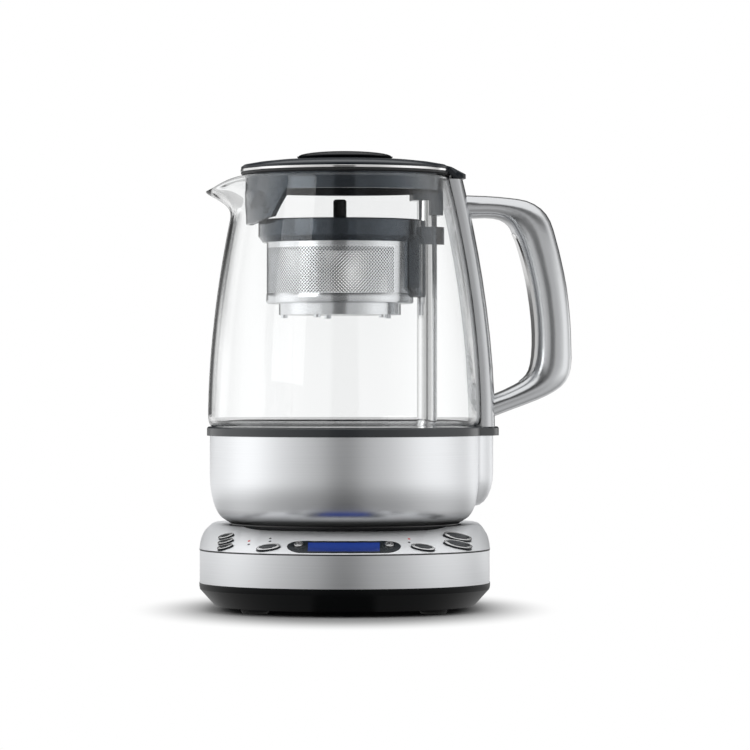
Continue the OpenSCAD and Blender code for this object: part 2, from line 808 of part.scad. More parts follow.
module glass_wall_solid() {
    foot_r = seal_r - 0.6 - seat;
    n = glass_sides;
    angles = [for (i = [0 : n - 1]) i * 360 / n];
    shoulder_z = band_top + 1.2;
    outer = [for (t = GLASS_LEVELS) [for (a = angles)
        glass_point(a, shoulder_z + t * (rim_height(a) - 1 - shoulder_z), 0)]];
    rim = [[for (a = angles) glass_point(a, rim_height(a), glass_wall * 0.5)]];
    inner = [for (i = [len(GLASS_LEVELS) - 1 : -1 : 0]) let (t = GLASS_LEVELS[i]) [for (a = angles)
        glass_point(a, shoulder_z + t * (rim_height(a) - 1 - shoulder_z), glass_wall)]];
    foot_in = foot_r - glass_wall + 0.2;
    foot = [for (p = [[foot_in, band_top - 0.3], [foot_in, glass_foot_z], [foot_r, glass_foot_z],
        [foot_r, band_top + 0.1]]) [for (a = angles) [p[0] * cos(a), p[0] * sin(a), p[1]]]];
    rings = concat(outer, rim, inner, foot);
    m = len(rings);
    points = [for (ring = rings, p = ring) p];
    faces = [for (k = [0 : m - 1], i = [0 : n - 1], half = [0, 1])
        let (k2 = (k + 1) % m, i2 = (i + 1) % n)
        half == 0 ? [k * n + i, k2 * n + i, k2 * n + i2] : [k * n + i, k2 * n + i2, k * n + i2]];
    polyhedron(points = points, faces = faces);
}

module glass_jug() {
    color([0.85, 0.9, 0.92, 0.35]) jug_place() glass_wall_solid();
}

// ------------------------------------------------------------------ handle

function spine_x(z) = glass_wall_r(z) + spine_t - 0.9 * clamp((z - band_top) / glass_rise);
SPINE_LEVELS = [0, 0.12, 0.24, 0.36, 0.48, 0.6, 0.7, 0.8, 0.88, 0.95, 1];
spine_top = rim_z - 2.2;

// Sweeps a closed section along rings that are lists of equal length
module ring_solid(rings) {
    n = len(rings[0]);
    m = len(rings);
    points = [for (ring = rings, p = ring) p];
    sides = [for (k = [0 : m - 2], i = [0 : n - 1], half = [0, 1])
        let (i2 = (i + 1) % n)
        half == 0 ? [k * n + i, k * n + i2, (k + 1) * n + i2]
            : [k * n + i, (k + 1) * n + i2, (k + 1) * n + i]];
    ends = [for (i = [1 : n - 2], e = [0, 1])
        e == 0 ? [0, i + 1, i] : [(m - 1) * n, (m - 1) * n + i, (m - 1) * n + i + 1]];
    polyhedron(points = points, faces = concat(sides, ends));
}

// Section of the spine at height z: flat on the inside, crowned on the outside
function spine_section(z) = let (x = spine_x(z), w = spine_w / 2)
    concat(
        [[x - 16, w, z]],
        [for (a = [90 : -15 : -90]) [x - 8 + 8 * pow(cos(a), 0.75), w * sin(a), z]],
        [[x - 16, -w, z]]
    );

module handle_spine() {
    rings = [for (t = SPINE_LEVELS) spine_section(band_top + t * (spine_top - band_top))];
    color("#b4b7bb") jug_place() difference() {
        ring_solid(rings);
        rotate_extrude() polygon(concat(
            [[0, band_top - 1]],
            [for (t = [0 : 0.05 : 1]) let (z = band_top - 1 + t * (glass_rise + 4))
                [glass_wall_r(z) + 0.25, z]],
            [[0, rim_z + 3]]
        ));
        handle_screw_bores();
    }
}

// The grip's outline in the plane of the handle, from the top arm to the bottom
// arm: [outer x, outer z, inner x, inner z], x from 0 at the spine to 1 at the
// full reach, z above the black band
GRIP_OUTLINE = [
    [-0.12, 138, -0.12, 123.4], [0.18, 137.5, 0.18, 124.2], [0.39, 136.5, 0.33, 123],
    [0.57, 134.8, 0.41, 119.3], [0.71, 130.1, 0.445, 115.2], [0.8, 122.6, 0.483, 110.8],
    [0.858, 111, 0.524, 103.1], [0.905, 99.1, 0.566, 93.6], [0.956, 83.1, 0.609, 80.6],
    [0.989, 64.1, 0.644, 63.1], [1, 47.6, 0.65, 48.1], [0.997, 35.1, 0.631, 37.1],
    [0.945, 26.6, 0.59, 30.9],
    [0.839, 20.8, 0.514, 26.8], [0.679, 15.8, 0.419, 23.6], [0.426, 9.8, 0.309, 20.4],
    [0.1, 2, 0.1, 15.6]
];
grip_steps = 2;
grip_sides = 20;
grip_root_x = glass_rim_r + 10;
function grip_node(i) = let (
    p = GRIP_OUTLINE[max(0, min(len(GRIP_OUTLINE) - 1, i))],
    w = grip_reach - grip_root_x
) [grip_root_x + p[0] * w, band_top + p[1], grip_root_x + p[2] * w, band_top + p[3]];
// Smooth curve through the nodes
function curve(i, t) = let (
    a = grip_node(i - 1), b = grip_node(i), c = grip_node(i + 1), d = grip_node(i + 2)
) 0.5 * (2 * b + (c - a) * t + (2 * a - 5 * b + 4 * c - d) * t * t + (3 * b - a - 3 * c + d) * t * t * t);
GRIP_CURVE = concat(
    [for (i = [0 : len(GRIP_OUTLINE) - 2], s = [0 : grip_steps - 1]) curve(i, s / grip_steps)],
    [grip_node(len(GRIP_OUTLINE) - 1)]
);
function outer_point(k) = [GRIP_CURVE[k][0], GRIP_CURVE[k][1]];
function inner_point(k) = [GRIP_CURVE[k][2], GRIP_CURVE[k][3]];
// Rounded section that spans the outline from its inner to its outer point
function grip_section(k, w) = let (
    mid = (outer_point(k) + inner_point(k)) / 2,
    half = (outer_point(k) - inner_point(k)) / 2
) [for (i = [0 : grip_sides - 1]) let (
        a = i * 360 / grip_sides,
        c = sign(cos(a)) * pow(abs(cos(a)), 0.8),
        s = sign(sin(a)) * pow(abs(sin(a)), 0.8)
    ) [mid.x + half.x * c, w / 2 * s, mid.y + half.y * c]];
// The furthest point of the turned grip from the jug axis, and the place of the
// jug axis that puts the whole appliance, from base to grip, on the origin
grip_end = max([for (k = [0 : len(GRIP_CURVE) - 1], p = grip_section(k, grip_w))
    p.x * cos(jug_turn) - p.y * sin(jug_turn)]);
axis_x = (front_r - grip_end) / 2;
HANDLE_SCREW_Z = [band_top + 13, band_top + 130.8];
handle_screw_l = 16;
// Stepped bores that go from behind the spine into the grip
module handle_screw_bores() {
    for (z = HANDLE_SCREW_Z) translate([glass_wall_r(z) + 0.6, 0, z]) rotate([0, 90, 0]) {
        cylinder(r = 1.5 + seat, h = handle_screw_l + 1);
        translate([0, 0, -6]) cylinder(r = 2.6 + seat, h = 9);
    }
}

module grip_solid(w) {
    ring_solid([for (k = [0 : len(GRIP_CURVE) - 1]) grip_section(k, w)]);
}

module handle_grip() {
    color("#c3c6c9") jug_place() difference() {
        grip_solid(grip_w);
        inlay_blank(seat);
        // seat against the spine
        ring_solid([for (t = SPINE_LEVELS) spine_section(band_top + t * (spine_top - band_top))]);
        handle_screw_bores();
    }
}

// Strip let into the inside of the grip, with round ends
INLAY_SPAN = [8, 26];
module inlay_blank(gap) {
    rings = [for (k = [INLAY_SPAN[0] : INLAY_SPAN[1]]) let (
        p = inner_point(k),
        out = unit(outer_point(k) - p),
        u = (k - INLAY_SPAN[0]) / (INLAY_SPAN[1] - INLAY_SPAN[0]),
        w = (inlay_w / 2) * sqrt(sin(8 + 164 * u)) + gap
    ) [for (q = [[-0.5, -w], [inlay_t + gap, -w], [inlay_t + gap, w], [-0.5, w]]) [
        p.x + out.x * q[0], q[1], p.y + out.y * q[0]
    ]]];
    ring_solid(rings);
}

module grip_inlay() {
    color("#e2e4e6") jug_place() inlay_blank(0);
}

module handle_screws() {
    color("#8d9094") jug_place() for (z = HANDLE_SCREW_Z) {
        translate([glass_wall_r(z) + 0.6, 0, z]) rotate([0, 90, 0]) {
            cylinder(r = 1.5, h = handle_screw_l);
            cylinder(r = 2.6, h = 3);
        }
    }
}

// -------------------------------------------------------------- lift drive

post_r = post_d / 2;
post_bottom = band_z - 9;
post_top = rim_z - 7.4;
nut_h = 3;
carriage_h = 12;
carriage_z = collar_z - 3;
screw_clear = 0.08;

module lift_post() {
    color("#d5d8db") post_place() difference() {
        union() {
            translate([0, 0, post_bottom]) cylinder(r = post_r, h = post_top - post_bottom);
            translate([0, 0, band_z + 1.4 - nut_h]) cylinder(r = post_r + 3, h = nut_h + 1.6 - 0.05);
        }
        translate([0, 0, post_bottom - 1]) cylinder(r = post_r - post_wall, h = post_top - post_bottom - 5);
        translate([0, 0, post_top - 7]) cylinder(r = screw_d / 2 + screw_clear, h = 5);
    }
}

module lift_motor() {
    color("#6f7378") post_place() translate([0, 0, post_bottom - motor_h]) difference() {
        union() {
            cylinder(d = motor_d, h = motor_h);
            translate([0, 0, -3]) cylinder(d = motor_d * 0.4, h = 4);
        }
        translate([0, 0, motor_h - 12]) cylinder(r = screw_d / 2 - 0.4 + screw_clear, h = 13);
    }
}

module lead_screw() {
    journal_r = screw_d / 2 - 0.4;
    color("#b5b8bb") post_place() {
        translate([0, 0, post_bottom + fit]) {
            cylinder(r = screw_d / 2, h = post_top - 2.4 - post_bottom - fit);
        }
        translate([0, 0, post_bottom - 12 + fit]) cylinder(r = journal_r, h = 13);
        // stop collar under the lowest place of the carriage
        translate([0, 0, carriage_z - basket_travel - 2.5]) cylinder(r = screw_d / 2 + 1.2, h = 2);
    }
}

module drive_carriage() {
    color("#3b3f43") post_place() translate([0, 0, carriage_z]) difference() {
        cylinder(r = post_r - post_wall - 0.1, h = carriage_h);
        translate([0, 0, -1]) cylinder(r = screw_d / 2 + screw_clear, h = carriage_h + 2);
        translate([0, 0, 3]) tube(post_r, post_r - post_wall - 1, carriage_h - 6);
    }
}

// --------------------------------------------------------------------- lid

lid_boss_at = 48;     // distance of the lid screws from the lid's axis
lid_boss_r = 3;
lid_screw_r = 1.2;

module at_lid_screws() {
    for (a = [60, 180, 300]) rotate([0, 0, a]) translate([lid_boss_at, 0, 0]) children();
}

module lid_cover() {
    color("#3a424b") jug_place() difference() {
        union() {
            difference() {
                rotate_extrude() polygon([
                    [0, cover_z], [lid_r - 0.2, cover_z], [lid_r - 0.3, cover_z + 1.2],
                    [lid_r - 2, cover_z + 2.4], [lid_r * 0.84, cover_z + 3.8], [lid_r * 0.68, cover_z + 4.9],
                    [dome_flat_r, cover_z + dome_h - dome_fall], [0, cover_z + dome_h]
                ]);
                translate([0, 0, cover_z - 1]) cylinder(r = lid_r - 8, h = 3.2);
            }
            tail_solid();
            at_lid_screws() translate([0, 0, lid_z]) cylinder(r = lid_boss_r, h = cover_z + 3 - lid_z);
        }
        translate([0, 0, cover_z]) cylinder(r = 4, h = 20);
        at_lid_screws() translate([0, 0, lid_z - 1]) {
            cylinder(r = lid_screw_r + seat, h = cover_z + 3 - lid_z);
        }
    }
}

// Tail of the lid over the top of the spine, clear of the trim ring and the glass rim
tail_w = 26;
tail_over = 1.1;      // thickness of the tail where it crosses the trim ring
tail_end_r = 4.4;
module tail_solid() {
    difference() {
        hull() {
            translate([lid_r - 7, -tail_w / 2, cover_z]) cube([1, tail_w, 2.8]);
            translate([lid_r - 0.5, -tail_w / 2, cover_z]) cube([1, tail_w, tail_over]);
            for (side = [-1, 1]) {
                translate([lid_r + 5, side * (tail_w / 2 - tail_end_r), spine_top + 0.5]) {
                    cylinder(r = tail_end_r, h = tail_t, $fn = 32);
                }
            }
        }
        translate([0, 0, spine_top - 5]) cylinder(r = lid_r + seat, h = cover_z - spine_top + 5.3);
        translate([0, 0, spine_top - 5]) cylinder(r = glass_rim_r + 0.9, h = rim_z + 0.3 - spine_top + 5);
    }
}

// The dome's middle is a shallow cone that the knob's underside follows
dome_flat_r = lid_r * 0.46;
dome_fall = 0.2;

module lid_knob() {
    base_r = min(knob_r - 1.6, dome_flat_r);
    color("#16181a") jug_place() translate([0, 0, knob_z + 0.02]) {
        rotate_extrude() polygon(concat(
            [[0, 0], [base_r, -dome_fall * base_r / dome_flat_r], [knob_r, 1.4]],
            [for (a = [0 : 10 : 90]) [
                (knob_r - 1) * cos(a),
                1.6 + (knob_h - 1.6) * sin(a)
            ]]
        ));
        translate([0, 0, -dome_h + 3]) cylinder(r = 4 - seat, h = dome_h - 2);
    }
}

module lid_trim_ring() {
    color("#dfe1e3") jug_place() translate([0, 0, trim_z]) rotate_extrude() polygon([
        [lid_r - 9, 0], [lid_r - 0.4, 0], [lid_r, 0.4], [lid_r, trim_h - 0.4], [lid_r - 0.4, trim_h],
        [lid_r - 9, trim_h]
    ]);
}

module lid_seal() {
    color("#0f1011") jug_place() translate([0, 0, lid_z]) rotate_extrude() polygon([
        [lid_skirt_r - 2, 0], [lid_skirt_r + 0.9, 0], [lid_skirt_r + 0.9, 0.4], [lid_r - 0.6, 0.4],
        [lid_r - 0.2, 0.8], [lid_r - 0.2, lid_seal_h], [lid_skirt_r - 2, lid_seal_h]
    ]);
}

skirt_bottom = rim_z - lid_skirt_h;
lid_skirt_wall = 2.2;
lid_plate_t = 1.4;

module lid_skirt() {
    dock_bottom = rim_z - 23.5;
    color("#5b626a") jug_place() difference() {
        union() {
            translate([0, 0, skirt_bottom]) {
                tube(lid_skirt_r, lid_skirt_r - lid_skirt_wall, lid_z - skirt_bottom);
            }
            translate([0, 0, lid_z - lid_plate_t]) cylinder(r = lid_skirt_r, h = lid_plate_t);
            // dock that goes over the top of the lift post
            intersection() {
                union() {
                    translate([post_x - 9.5, -9, rim_z - 14.6]) cube([14, 18, lid_z - rim_z + 14.6]);
                    translate([post_x + 1, -9, dock_bottom]) cube([14, 18, lid_z - dock_bottom]);
                }
                translate([0, 0, dock_bottom - 1]) cylinder(r = lid_skirt_r, h = 40);
            }
        }
        translate([post_x, 0, dock_bottom - 1]) cylinder(r = post_r + fit, h = post_top - dock_bottom + 1.3);
        at_lid_screws() translate([0, 0, lid_z - 5]) cylinder(r = lid_screw_r + 0.25, h = 8);
    }
}

strainer_half = 50;
strainer_low_half = 38;
strainer_t = 2;

module spout_strainer() {
    r = lid_skirt_r + 0.3;
    z0 = skirt_bottom - strainer_drop;
    color("#646b73") jug_place() difference() {
        intersection() {
            translate([0, 0, z0]) tube(r, r - strainer_t, strainer_drop - 0.02);
            // sides lean in towards the bottom edge
            rotate([90, 0, -90]) linear_extrude(100) polygon([
                [-r * sin(strainer_low_half), z0 + 3.4], [-r * 0.3, z0], [r * 0.3, z0],
                [r * sin(strainer_low_half), z0 + 3.4], [r * sin(strainer_half), skirt_bottom + 1],
                [-r * sin(strainer_half), skirt_bottom + 1]
            ]);
        }
        for (side = [-1, 1], row = [0 : strainer_rows - 1], col = [-1, 0, 1]) {
            u = (row - (strainer_rows - 1) / 2) * 1.9;
            shift = col * 1.9 + (row % 2) * 0.95 - u * 0.35;
            rotate([0, 0, 180 + side * (31 + shift / r * 57.3)]) {
                translate([r - 5, 0, z0 + strainer_drop * 0.6 + u]) rotate([0, 90, 0]) {
                    cylinder(r = 0.6, h = 10, $fn = 16);
                }
            }
        }
    }
}

module lid_screws() {
    color("#8d9094") jug_place() at_lid_screws() translate([0, 0, lid_z - lid_plate_t - 1.6]) {
        cylinder(r = 2.6, h = 1.6, $fn = 32);
        cylinder(r = lid_screw_r, h = 7, $fn = 32);
    }
}

// ------------------------------------------------------------------ basket

lug_r = 10.4;
lug_h = 10.4;
lug_z = collar_z - 4.4;
arm_t = 5.6;
arm_half = 28;
arm_bottom = drum_z + 4;
magnet_r = 1.5;
magnet_ring = post_r + 2.3;
lug_x = post_x + basket_off;

module basket_frame() {
    inner_r = drum_r + 0.35;
    color("#4a5159") basket_place() difference() {
        union() {
            rotate_extrude() polygon([
                [inner_r, collar_z - 3.4], [collar_r - 2.6, collar_z - 3.4], [collar_r, collar_z],
                [collar_r, collar_top - 0.8], [collar_r - 0.8, collar_top], [collar_r - 3, collar_top],
                [collar_r - 3, collar_z + 3], [inner_r, collar_z + 1]
            ]);
            // arm down the side of the drum
            intersection() {
                translate([0, 0, arm_bottom]) tube(inner_r + arm_t, inner_r, collar_z + 0.4 - arm_bottom);
                rotate([90, 0, 90]) linear_extrude(100) polygon([
                    [-inner_r * sin(arm_half), collar_z + 1], [-inner_r * sin(arm_half), arm_bottom + 5],
                    [-8, arm_bottom], [8, arm_bottom], [inner_r * sin(arm_half), arm_bottom + 5],
                    [inner_r * sin(arm_half), collar_z + 1]
                ]);
            }
            // lug round the lift post
            difference() {
                translate([0, 0, lug_z]) {
                    translate([lug_x, 0, 0]) cylinder(r = lug_r, h = lug_h);
                    translate([collar_r - 8, -lug_r, 0]) cube([lug_x - collar_r + 8, 2 * lug_r, lug_h]);
                }
                translate([0, 0, lug_z - 1]) cylinder(r = collar_r - 3, h = lug_h + 2);
            }
        }
        translate([lug_x, 0, drum_z - 10]) cylinder(r = post_r + lug_gap, h = 100);
        for (a = [60, 120, 240, 300]) translate([lug_x, 0, lug_z + 1.2]) rotate([0, 0, a]) {
            translate([magnet_ring, 0, 0]) cylinder(r = magnet_r + seat, h = lug_h - 1.15);
        }
    }
}

module basket_magnets() {
    color("#54585d") basket_place() translate([lug_x, 0, lug_z + 1.2]) {
        for (a = [60, 120, 240, 300]) rotate([0, 0, a]) {
            translate([magnet_ring, 0, 0]) cylinder(r = magnet_r, h = lug_h - 1.2);
        }
    }
}

module basket_drum() {
    color("#c2c5c8") basket_place() difference() {
        union() {
            translate([0, 0, drum_z]) cylinder(r = drum_r, h = drum_h);
            // plain band round the foot, under the perforations
            translate([0, 0, drum_z]) cylinder(r = drum_r + 0.3, h = drum_band_h);
            // rolled rim that rests in the collar
            translate([0, 0, collar_z + 3.05]) cylinder(r = collar_r - 3.05, h = 1);
            translate([0, 0, collar_z - 1]) cylinder(r = drum_r, h = 5);
        }
        translate([0, 0, drum_z + drum_wall]) cylinder(r = drum_r - drum_wall, h = 100);
        translate([0, 0, drum_z - 1]) cylinder(r = ring_r - 3, h = 4);
    }
}

module basket_ring() {
    color("#b9bcc0") basket_place() difference() {
        union() {
            translate([0, 0, ring_z]) cylinder(r = ring_r, h = ring_h);
            for (a = [25 : 72 : 330]) rotate([0, 0, a]) translate([ring_r - 3, 0, ring_z - 1.8]) {
                cylinder(r = 2, h = 3);
            }
        }
        translate([0, 0, ring_z + 1]) cylinder(r = ring_r - 1, h = ring_h);
        for (a = [0 : 30 : 330], r = [10, 20]) rotate([0, 0, a + r]) {
            translate([r, 0, ring_z - 3]) cylinder(r = 1.2, h = 6, $fn = 16);
        }
    }
}

module basket_lid() {
    lid_disc_r = collar_r - 3.4;
    color("#9da1a6") basket_place() translate([0, 0, collar_z + 4.3]) difference() {
        rotate_extrude() polygon([
            [0, 0], [lid_disc_r, 0], [lid_disc_r, 3], [lid_disc_r - 1, 3], [lid_disc_r - 2.4, 1], [0, 1]
        ]);
        translate([0, 0, -1]) cylinder(r = stem_d / 2 - 1.2, h = 5);
    }
}

module basket_lid_stem() {
    stem_z = collar_z + 4.3;
    color("#0e0f10") basket_place() translate([0, 0, stem_z]) {
        translate([0, 0, 1]) rotate_extrude() polygon([
            [0, 0], [stem_d / 2, 0], [stem_d / 2, collar_top + stem_h - stem_z - 2],
            [stem_d / 2 - 1, collar_top + stem_h - stem_z - 1], [0, collar_top + stem_h - stem_z - 1]
        ]);
        translate([0, 0, -0.8]) cylinder(r = stem_d / 2 - 1.2 - seat, h = 2);
    }
}

rubber_feet();
base_pan();
base_skirt();
control_deck();
display_bezel();
display_lens();
display_module();
switch_carrier();
tact_switches();
indicator_lights();
connector_socket();
power_board();
mains_relay();
transformer();
cord_gland();
base_screws();
left_button_upper();
left_button_middle();
left_button_lower();
left_oval_button();
minus_button();
plus_button();
right_oval_button();
large_button_upper();
large_button_lower();
jug_foot();
connector_plug();
jug_shell();
jug_band();
glass_seal();
glass_jug();
heater_plate();
heating_element();
temperature_sensor();
handle_spine();
handle_grip();
grip_inlay();
handle_screws();
lift_post();
lift_motor();
lead_screw();
drive_carriage();
lid_cover();
lid_knob();
lid_trim_ring();
lid_seal();
lid_skirt();
spout_strainer();
lid_screws();
basket_frame();
basket_drum();
basket_ring();
basket_magnets();
basket_lid();
basket_lid_stem();
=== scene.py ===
# %% [markdown]
# # An automatic tea maker
#
# A glass jug with a steel heater base and a C-shaped handle stands on a low
# powered base. A perforated infuser basket hangs inside the jug, on a post.
# The pieces arrive ready made and in place. This lesson gives each one its
# finish, models again the few whose shape asks for finer work, and sets up a
# plain white studio. We start with the frame, because everything else is
# measured from it.

# %% Load the frame
import json
import math

import bmesh
import bpy
from mathutils import Matrix, Vector

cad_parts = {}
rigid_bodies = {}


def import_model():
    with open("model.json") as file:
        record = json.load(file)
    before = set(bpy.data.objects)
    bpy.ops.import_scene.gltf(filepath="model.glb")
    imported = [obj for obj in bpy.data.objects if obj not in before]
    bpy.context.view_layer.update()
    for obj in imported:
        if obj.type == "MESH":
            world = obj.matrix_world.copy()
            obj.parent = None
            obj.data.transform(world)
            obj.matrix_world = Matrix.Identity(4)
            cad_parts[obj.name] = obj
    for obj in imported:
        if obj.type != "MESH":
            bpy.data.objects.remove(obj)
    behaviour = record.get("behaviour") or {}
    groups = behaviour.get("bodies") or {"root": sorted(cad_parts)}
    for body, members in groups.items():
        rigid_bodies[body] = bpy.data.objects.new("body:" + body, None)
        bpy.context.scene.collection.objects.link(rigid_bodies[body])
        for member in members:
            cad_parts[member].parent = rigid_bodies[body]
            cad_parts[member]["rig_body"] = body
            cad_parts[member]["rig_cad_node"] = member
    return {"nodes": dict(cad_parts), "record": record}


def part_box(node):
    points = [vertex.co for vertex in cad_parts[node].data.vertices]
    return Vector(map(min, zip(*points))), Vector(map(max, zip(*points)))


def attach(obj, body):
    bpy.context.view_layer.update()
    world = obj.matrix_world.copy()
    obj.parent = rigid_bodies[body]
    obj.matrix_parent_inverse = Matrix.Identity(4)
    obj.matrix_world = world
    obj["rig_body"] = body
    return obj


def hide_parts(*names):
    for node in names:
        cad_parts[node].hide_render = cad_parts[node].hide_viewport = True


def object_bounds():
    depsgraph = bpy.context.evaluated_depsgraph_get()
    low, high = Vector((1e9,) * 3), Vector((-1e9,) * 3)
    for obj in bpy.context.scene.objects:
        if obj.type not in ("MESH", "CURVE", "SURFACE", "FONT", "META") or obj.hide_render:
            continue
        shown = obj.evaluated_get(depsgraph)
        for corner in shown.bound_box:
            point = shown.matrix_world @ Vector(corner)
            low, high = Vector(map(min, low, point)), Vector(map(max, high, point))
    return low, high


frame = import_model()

nodes = frame["nodes"]
bpy.ops.object.select_all(action="DESELECT")
cad_box = [list(corner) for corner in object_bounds()]
print("pieces in the frame:", len(nodes), " box:", cad_box)

# %% [markdown]
# Sizes are in metres here, so one named millimetre keeps the numbers easy to
# read. The jug and the basket are round, so the middle of a round piece's box
# gives the axis that new pieces are turned on.

# %% Units and axes
MM = 0.001


def middle(node):
    """The middle of a ready-made piece's box."""
    low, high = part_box(node)
    return (low + high) / 2


jug_axis = middle("lid_trim_ring")
basket_axis = middle("basket_ring")
print("jug axis:", jug_axis, " basket axis:", basket_axis)

# %% [markdown]
# ## Camera
#
# The picture was taken from far away with a long lens, about level with the
# middle of the jug and a little to its right: the verticals stay parallel and
# the deck shows as a thin slope. A long lens on a distant camera does the same
# here. A shift of the lens could do it too, but a level camera needs none.

# %% Camera
CAMERA_RIGHT = 17.9 * MM
CAMERA_HEIGHT = 139 * MM
CAMERA_BACK = 2500 * MM
LENS_MM = 201.7
SENSOR_MM = 36
NEAREST, FARTHEST = 0.05, 40

bpy.ops.object.camera_add(
    location=(jug_axis.x + CAMERA_RIGHT, jug_axis.y - CAMERA_BACK, CAMERA_HEIGHT),
    rotation=(math.pi / 2, 0, 0),
)
camera = bpy.context.object
camera.name = "studio_camera"
camera.data.lens = LENS_MM
camera.data.sensor_width = SENSOR_MM
camera.data.clip_start = NEAREST
camera.data.clip_end = FARTHEST
bpy.context.scene.camera = camera
bpy.context.scene.view_settings.view_transform = "Standard"
print("camera at:", camera.location, " lens:", LENS_MM, "mm")

# %% [markdown]
# ## Shader maths
#
# A material is a small sum: lines here, a little darker there. Clicking such a
# sum together from Math nodes is slow to read. So one class wraps a node's
# output and lets Python's own + - * add the Math nodes, and one method adds
# any other node from its type, its settings and what goes into its sockets.

# %% Outputs that can be used in a sum, and the sheet that they stand on
class Output:
    """One output of a node, which Python's signs can add Math nodes to."""

    def __init__(self, sheet, socket):
        self.sheet = sheet
        self.socket = socket

    def maths(self, operation, first, second=None):
        values = {0: first} if second is None else {0: first, 1: second}
        return self.sheet.add("ShaderNodeMath", {"operation": operation}, values)

    def __add__(self, other):
        return self.maths("ADD", self, other)

    def __radd__(self, other):
        return self.maths("ADD", other, self)

    def __sub__(self, other):
        return self.maths("SUBTRACT", self, other)

    def __rsub__(self, other):
        return self.maths("SUBTRACT", other, self)

    def __mul__(self, other):
        return self.maths("MULTIPLY", self, other)

    def __rmul__(self, other):
        return self.maths("MULTIPLY", other, self)

    def __abs__(self):
        return self.maths("ABSOLUTE", self)

    def largest(self, other):
        return self.maths("MAXIMUM", self, other)


class Sheet:
    """A node tree that is written from left to right."""

    def __init__(self, tree):
        self.tree = tree
        tree.nodes.clear()

    def add(self, kind, settings=None, values=None, out=0):
        """Adds a node, sets it, and fills or links its sockets."""
        node = self.tree.nodes.new(kind)
        for name, value in (settings or {}).items():
            setattr(node, name, value)
        for key, value in (values or {}).items():
            if isinstance(value, Output):
                self.tree.links.new(value.socket, node.inputs[key])
            else:
                node.inputs[key].default_value = value
        return Output(self, node.outputs[out]) if node.outputs else node

    def parts(self, vector):
        """The three numbers of a vector."""
        split = self.add("ShaderNodeSeparateXYZ", values={0: vector}).socket.node
        return [Output(self, socket) for socket in split.outputs]

    def compass(self, vector):
        """The way a vector points, in degrees: 0 to the camera, positive to the right."""
        x, y, _ = self.parts(vector)
        radians = self.add("ShaderNodeMath", {"operation": "ARCTAN2"}, {0: x, 1: y * -1})
        return radians * (180 / math.pi)

    def ramp(self, value, low, high):
        """0 at low, 1 at high and a smooth step between them."""
        return self.add(
            "ShaderNodeMapRange",
            {"interpolation_type": "SMOOTHSTEP"},
            {0: value, 1: low, 2: high},
        )

    def strip(self, value, at, half, soft):
        """1 within half of a place, fading over soft."""
        return self.ramp(abs(value - at), half + soft, half)

    def mixed(self, share, colour_a, colour_b):
        """A colour between two colours."""
        return self.add(
            "ShaderNodeMix",
            {"data_type": "RGBA"},
            {0: share, 6: colour_a, 7: colour_b},
            out=2,
        )


print("shader maths is ready")

# %% [markdown]
# ## Studio
#
# Bright metal shows its surroundings and little else. The real picture was
# taken in a white tent: a grey front with a dark slit where the camera looks
# through, and broad bright panels at both sides. Panels could be modelled, but
# the world can hold them all as soft strips by compass angle, and they then
# stay out of the way in every view.

# %% Walls of the tent
TENT_LEVEL = 1.28
WALL_LEVEL = 0.46
# Extra light of each panel, then its angle, half width and soft edge in degrees
LEFT_PANELS = [(0.28, -105, 35, 50), (0.26, -88, 6, 24)]
RIGHT_PANELS = [(0.42, 80, 4, 46), (0.55, 139, 5, 9)]
SLIT_HALF, SLIT_SOFT = 10, 4
SLIT_DARK = 0.7


def tent_walls(sheet, compass):
    """Brightness of the tent's walls by compass angle."""
    level = WALL_LEVEL
    for extra, at, half, soft in LEFT_PANELS + RIGHT_PANELS:
        level = level + extra * sheet.strip(compass, at, half, soft)
    slit = sheet.strip(compass, 0, SLIT_HALF, SLIT_SOFT)
    return TENT_LEVEL * level * (1 - SLIT_DARK * slit)


print("panels in the tent:", len(LEFT_PANELS + RIGHT_PANELS))

# %% [markdown]
# The rest of the tent is there for three kinds of piece. Dark cards behind the
# object, one at each side of the white backdrop, draw the dark outline of the
# glass. A dark brow over the camera, and the gap over the backdrop, keep what
# slopes or lies flat, such as the deck and the lid, from turning white. The
# roof is bright for all that faces straight up. The backdrop is white through
# the glass and dark in a mirror, and the camera itself sees only white.

# %% Cards, brow, gap and roof of the tent
# Ramps by degrees away from the camera, on either side
CARD_SIDE = (148, 156)
BACKDROP_SIDE = (168, 171)
BROW_SIDE = (60, 110)
GAP_SIDE = (105, 140)
# Ramps by height, from 0 at the horizon to 1 overhead
BACKDROP_TOP = (0.06, 0.12)
BROW_FOOT = (0.1, 0.32)
ROOF_FOOT = (0.5, 0.66)
CARD_DARK, BROW_DARK, GAP_DARK = 0.85, 0.75, 0.85
BACKDROP_MIRRORED = 0.08
ROOF_LEVEL = 1.05

world = bpy.data.worlds.new("studio_tent")
bpy.context.scene.world = world
world.use_nodes = True
tent = Sheet(world.node_tree)
way = tent.add("ShaderNodeTexCoord", out="Generated")
height = tent.parts(way)[2]
compass = tent.compass(way)
turned_away = abs(compass)
backdrop = tent.ramp(turned_away, *BACKDROP_SIDE)
cards = tent.ramp(turned_away, *CARD_SIDE) * (1 - backdrop)
tent_light = tent_walls(tent, compass) * (1 - CARD_DARK * cards)
behind = backdrop * (1 - tent.ramp(height, *BACKDROP_TOP))
through = tent.add("ShaderNodeLightPath", out="Is Transmission Ray")
backdrop_level = BACKDROP_MIRRORED + (1 - BACKDROP_MIRRORED) * through
tent_light = tent_light * (1 - behind) + backdrop_level * behind
brow = (1 - tent.ramp(turned_away, *BROW_SIDE)) * tent.ramp(height, *BROW_FOOT)
tent_light = tent_light * (1 - BROW_DARK * brow)
gap = tent.ramp(turned_away, *GAP_SIDE) * tent.ramp(height, *BACKDROP_TOP)
tent_light = tent_light * (1 - GAP_DARK * gap)
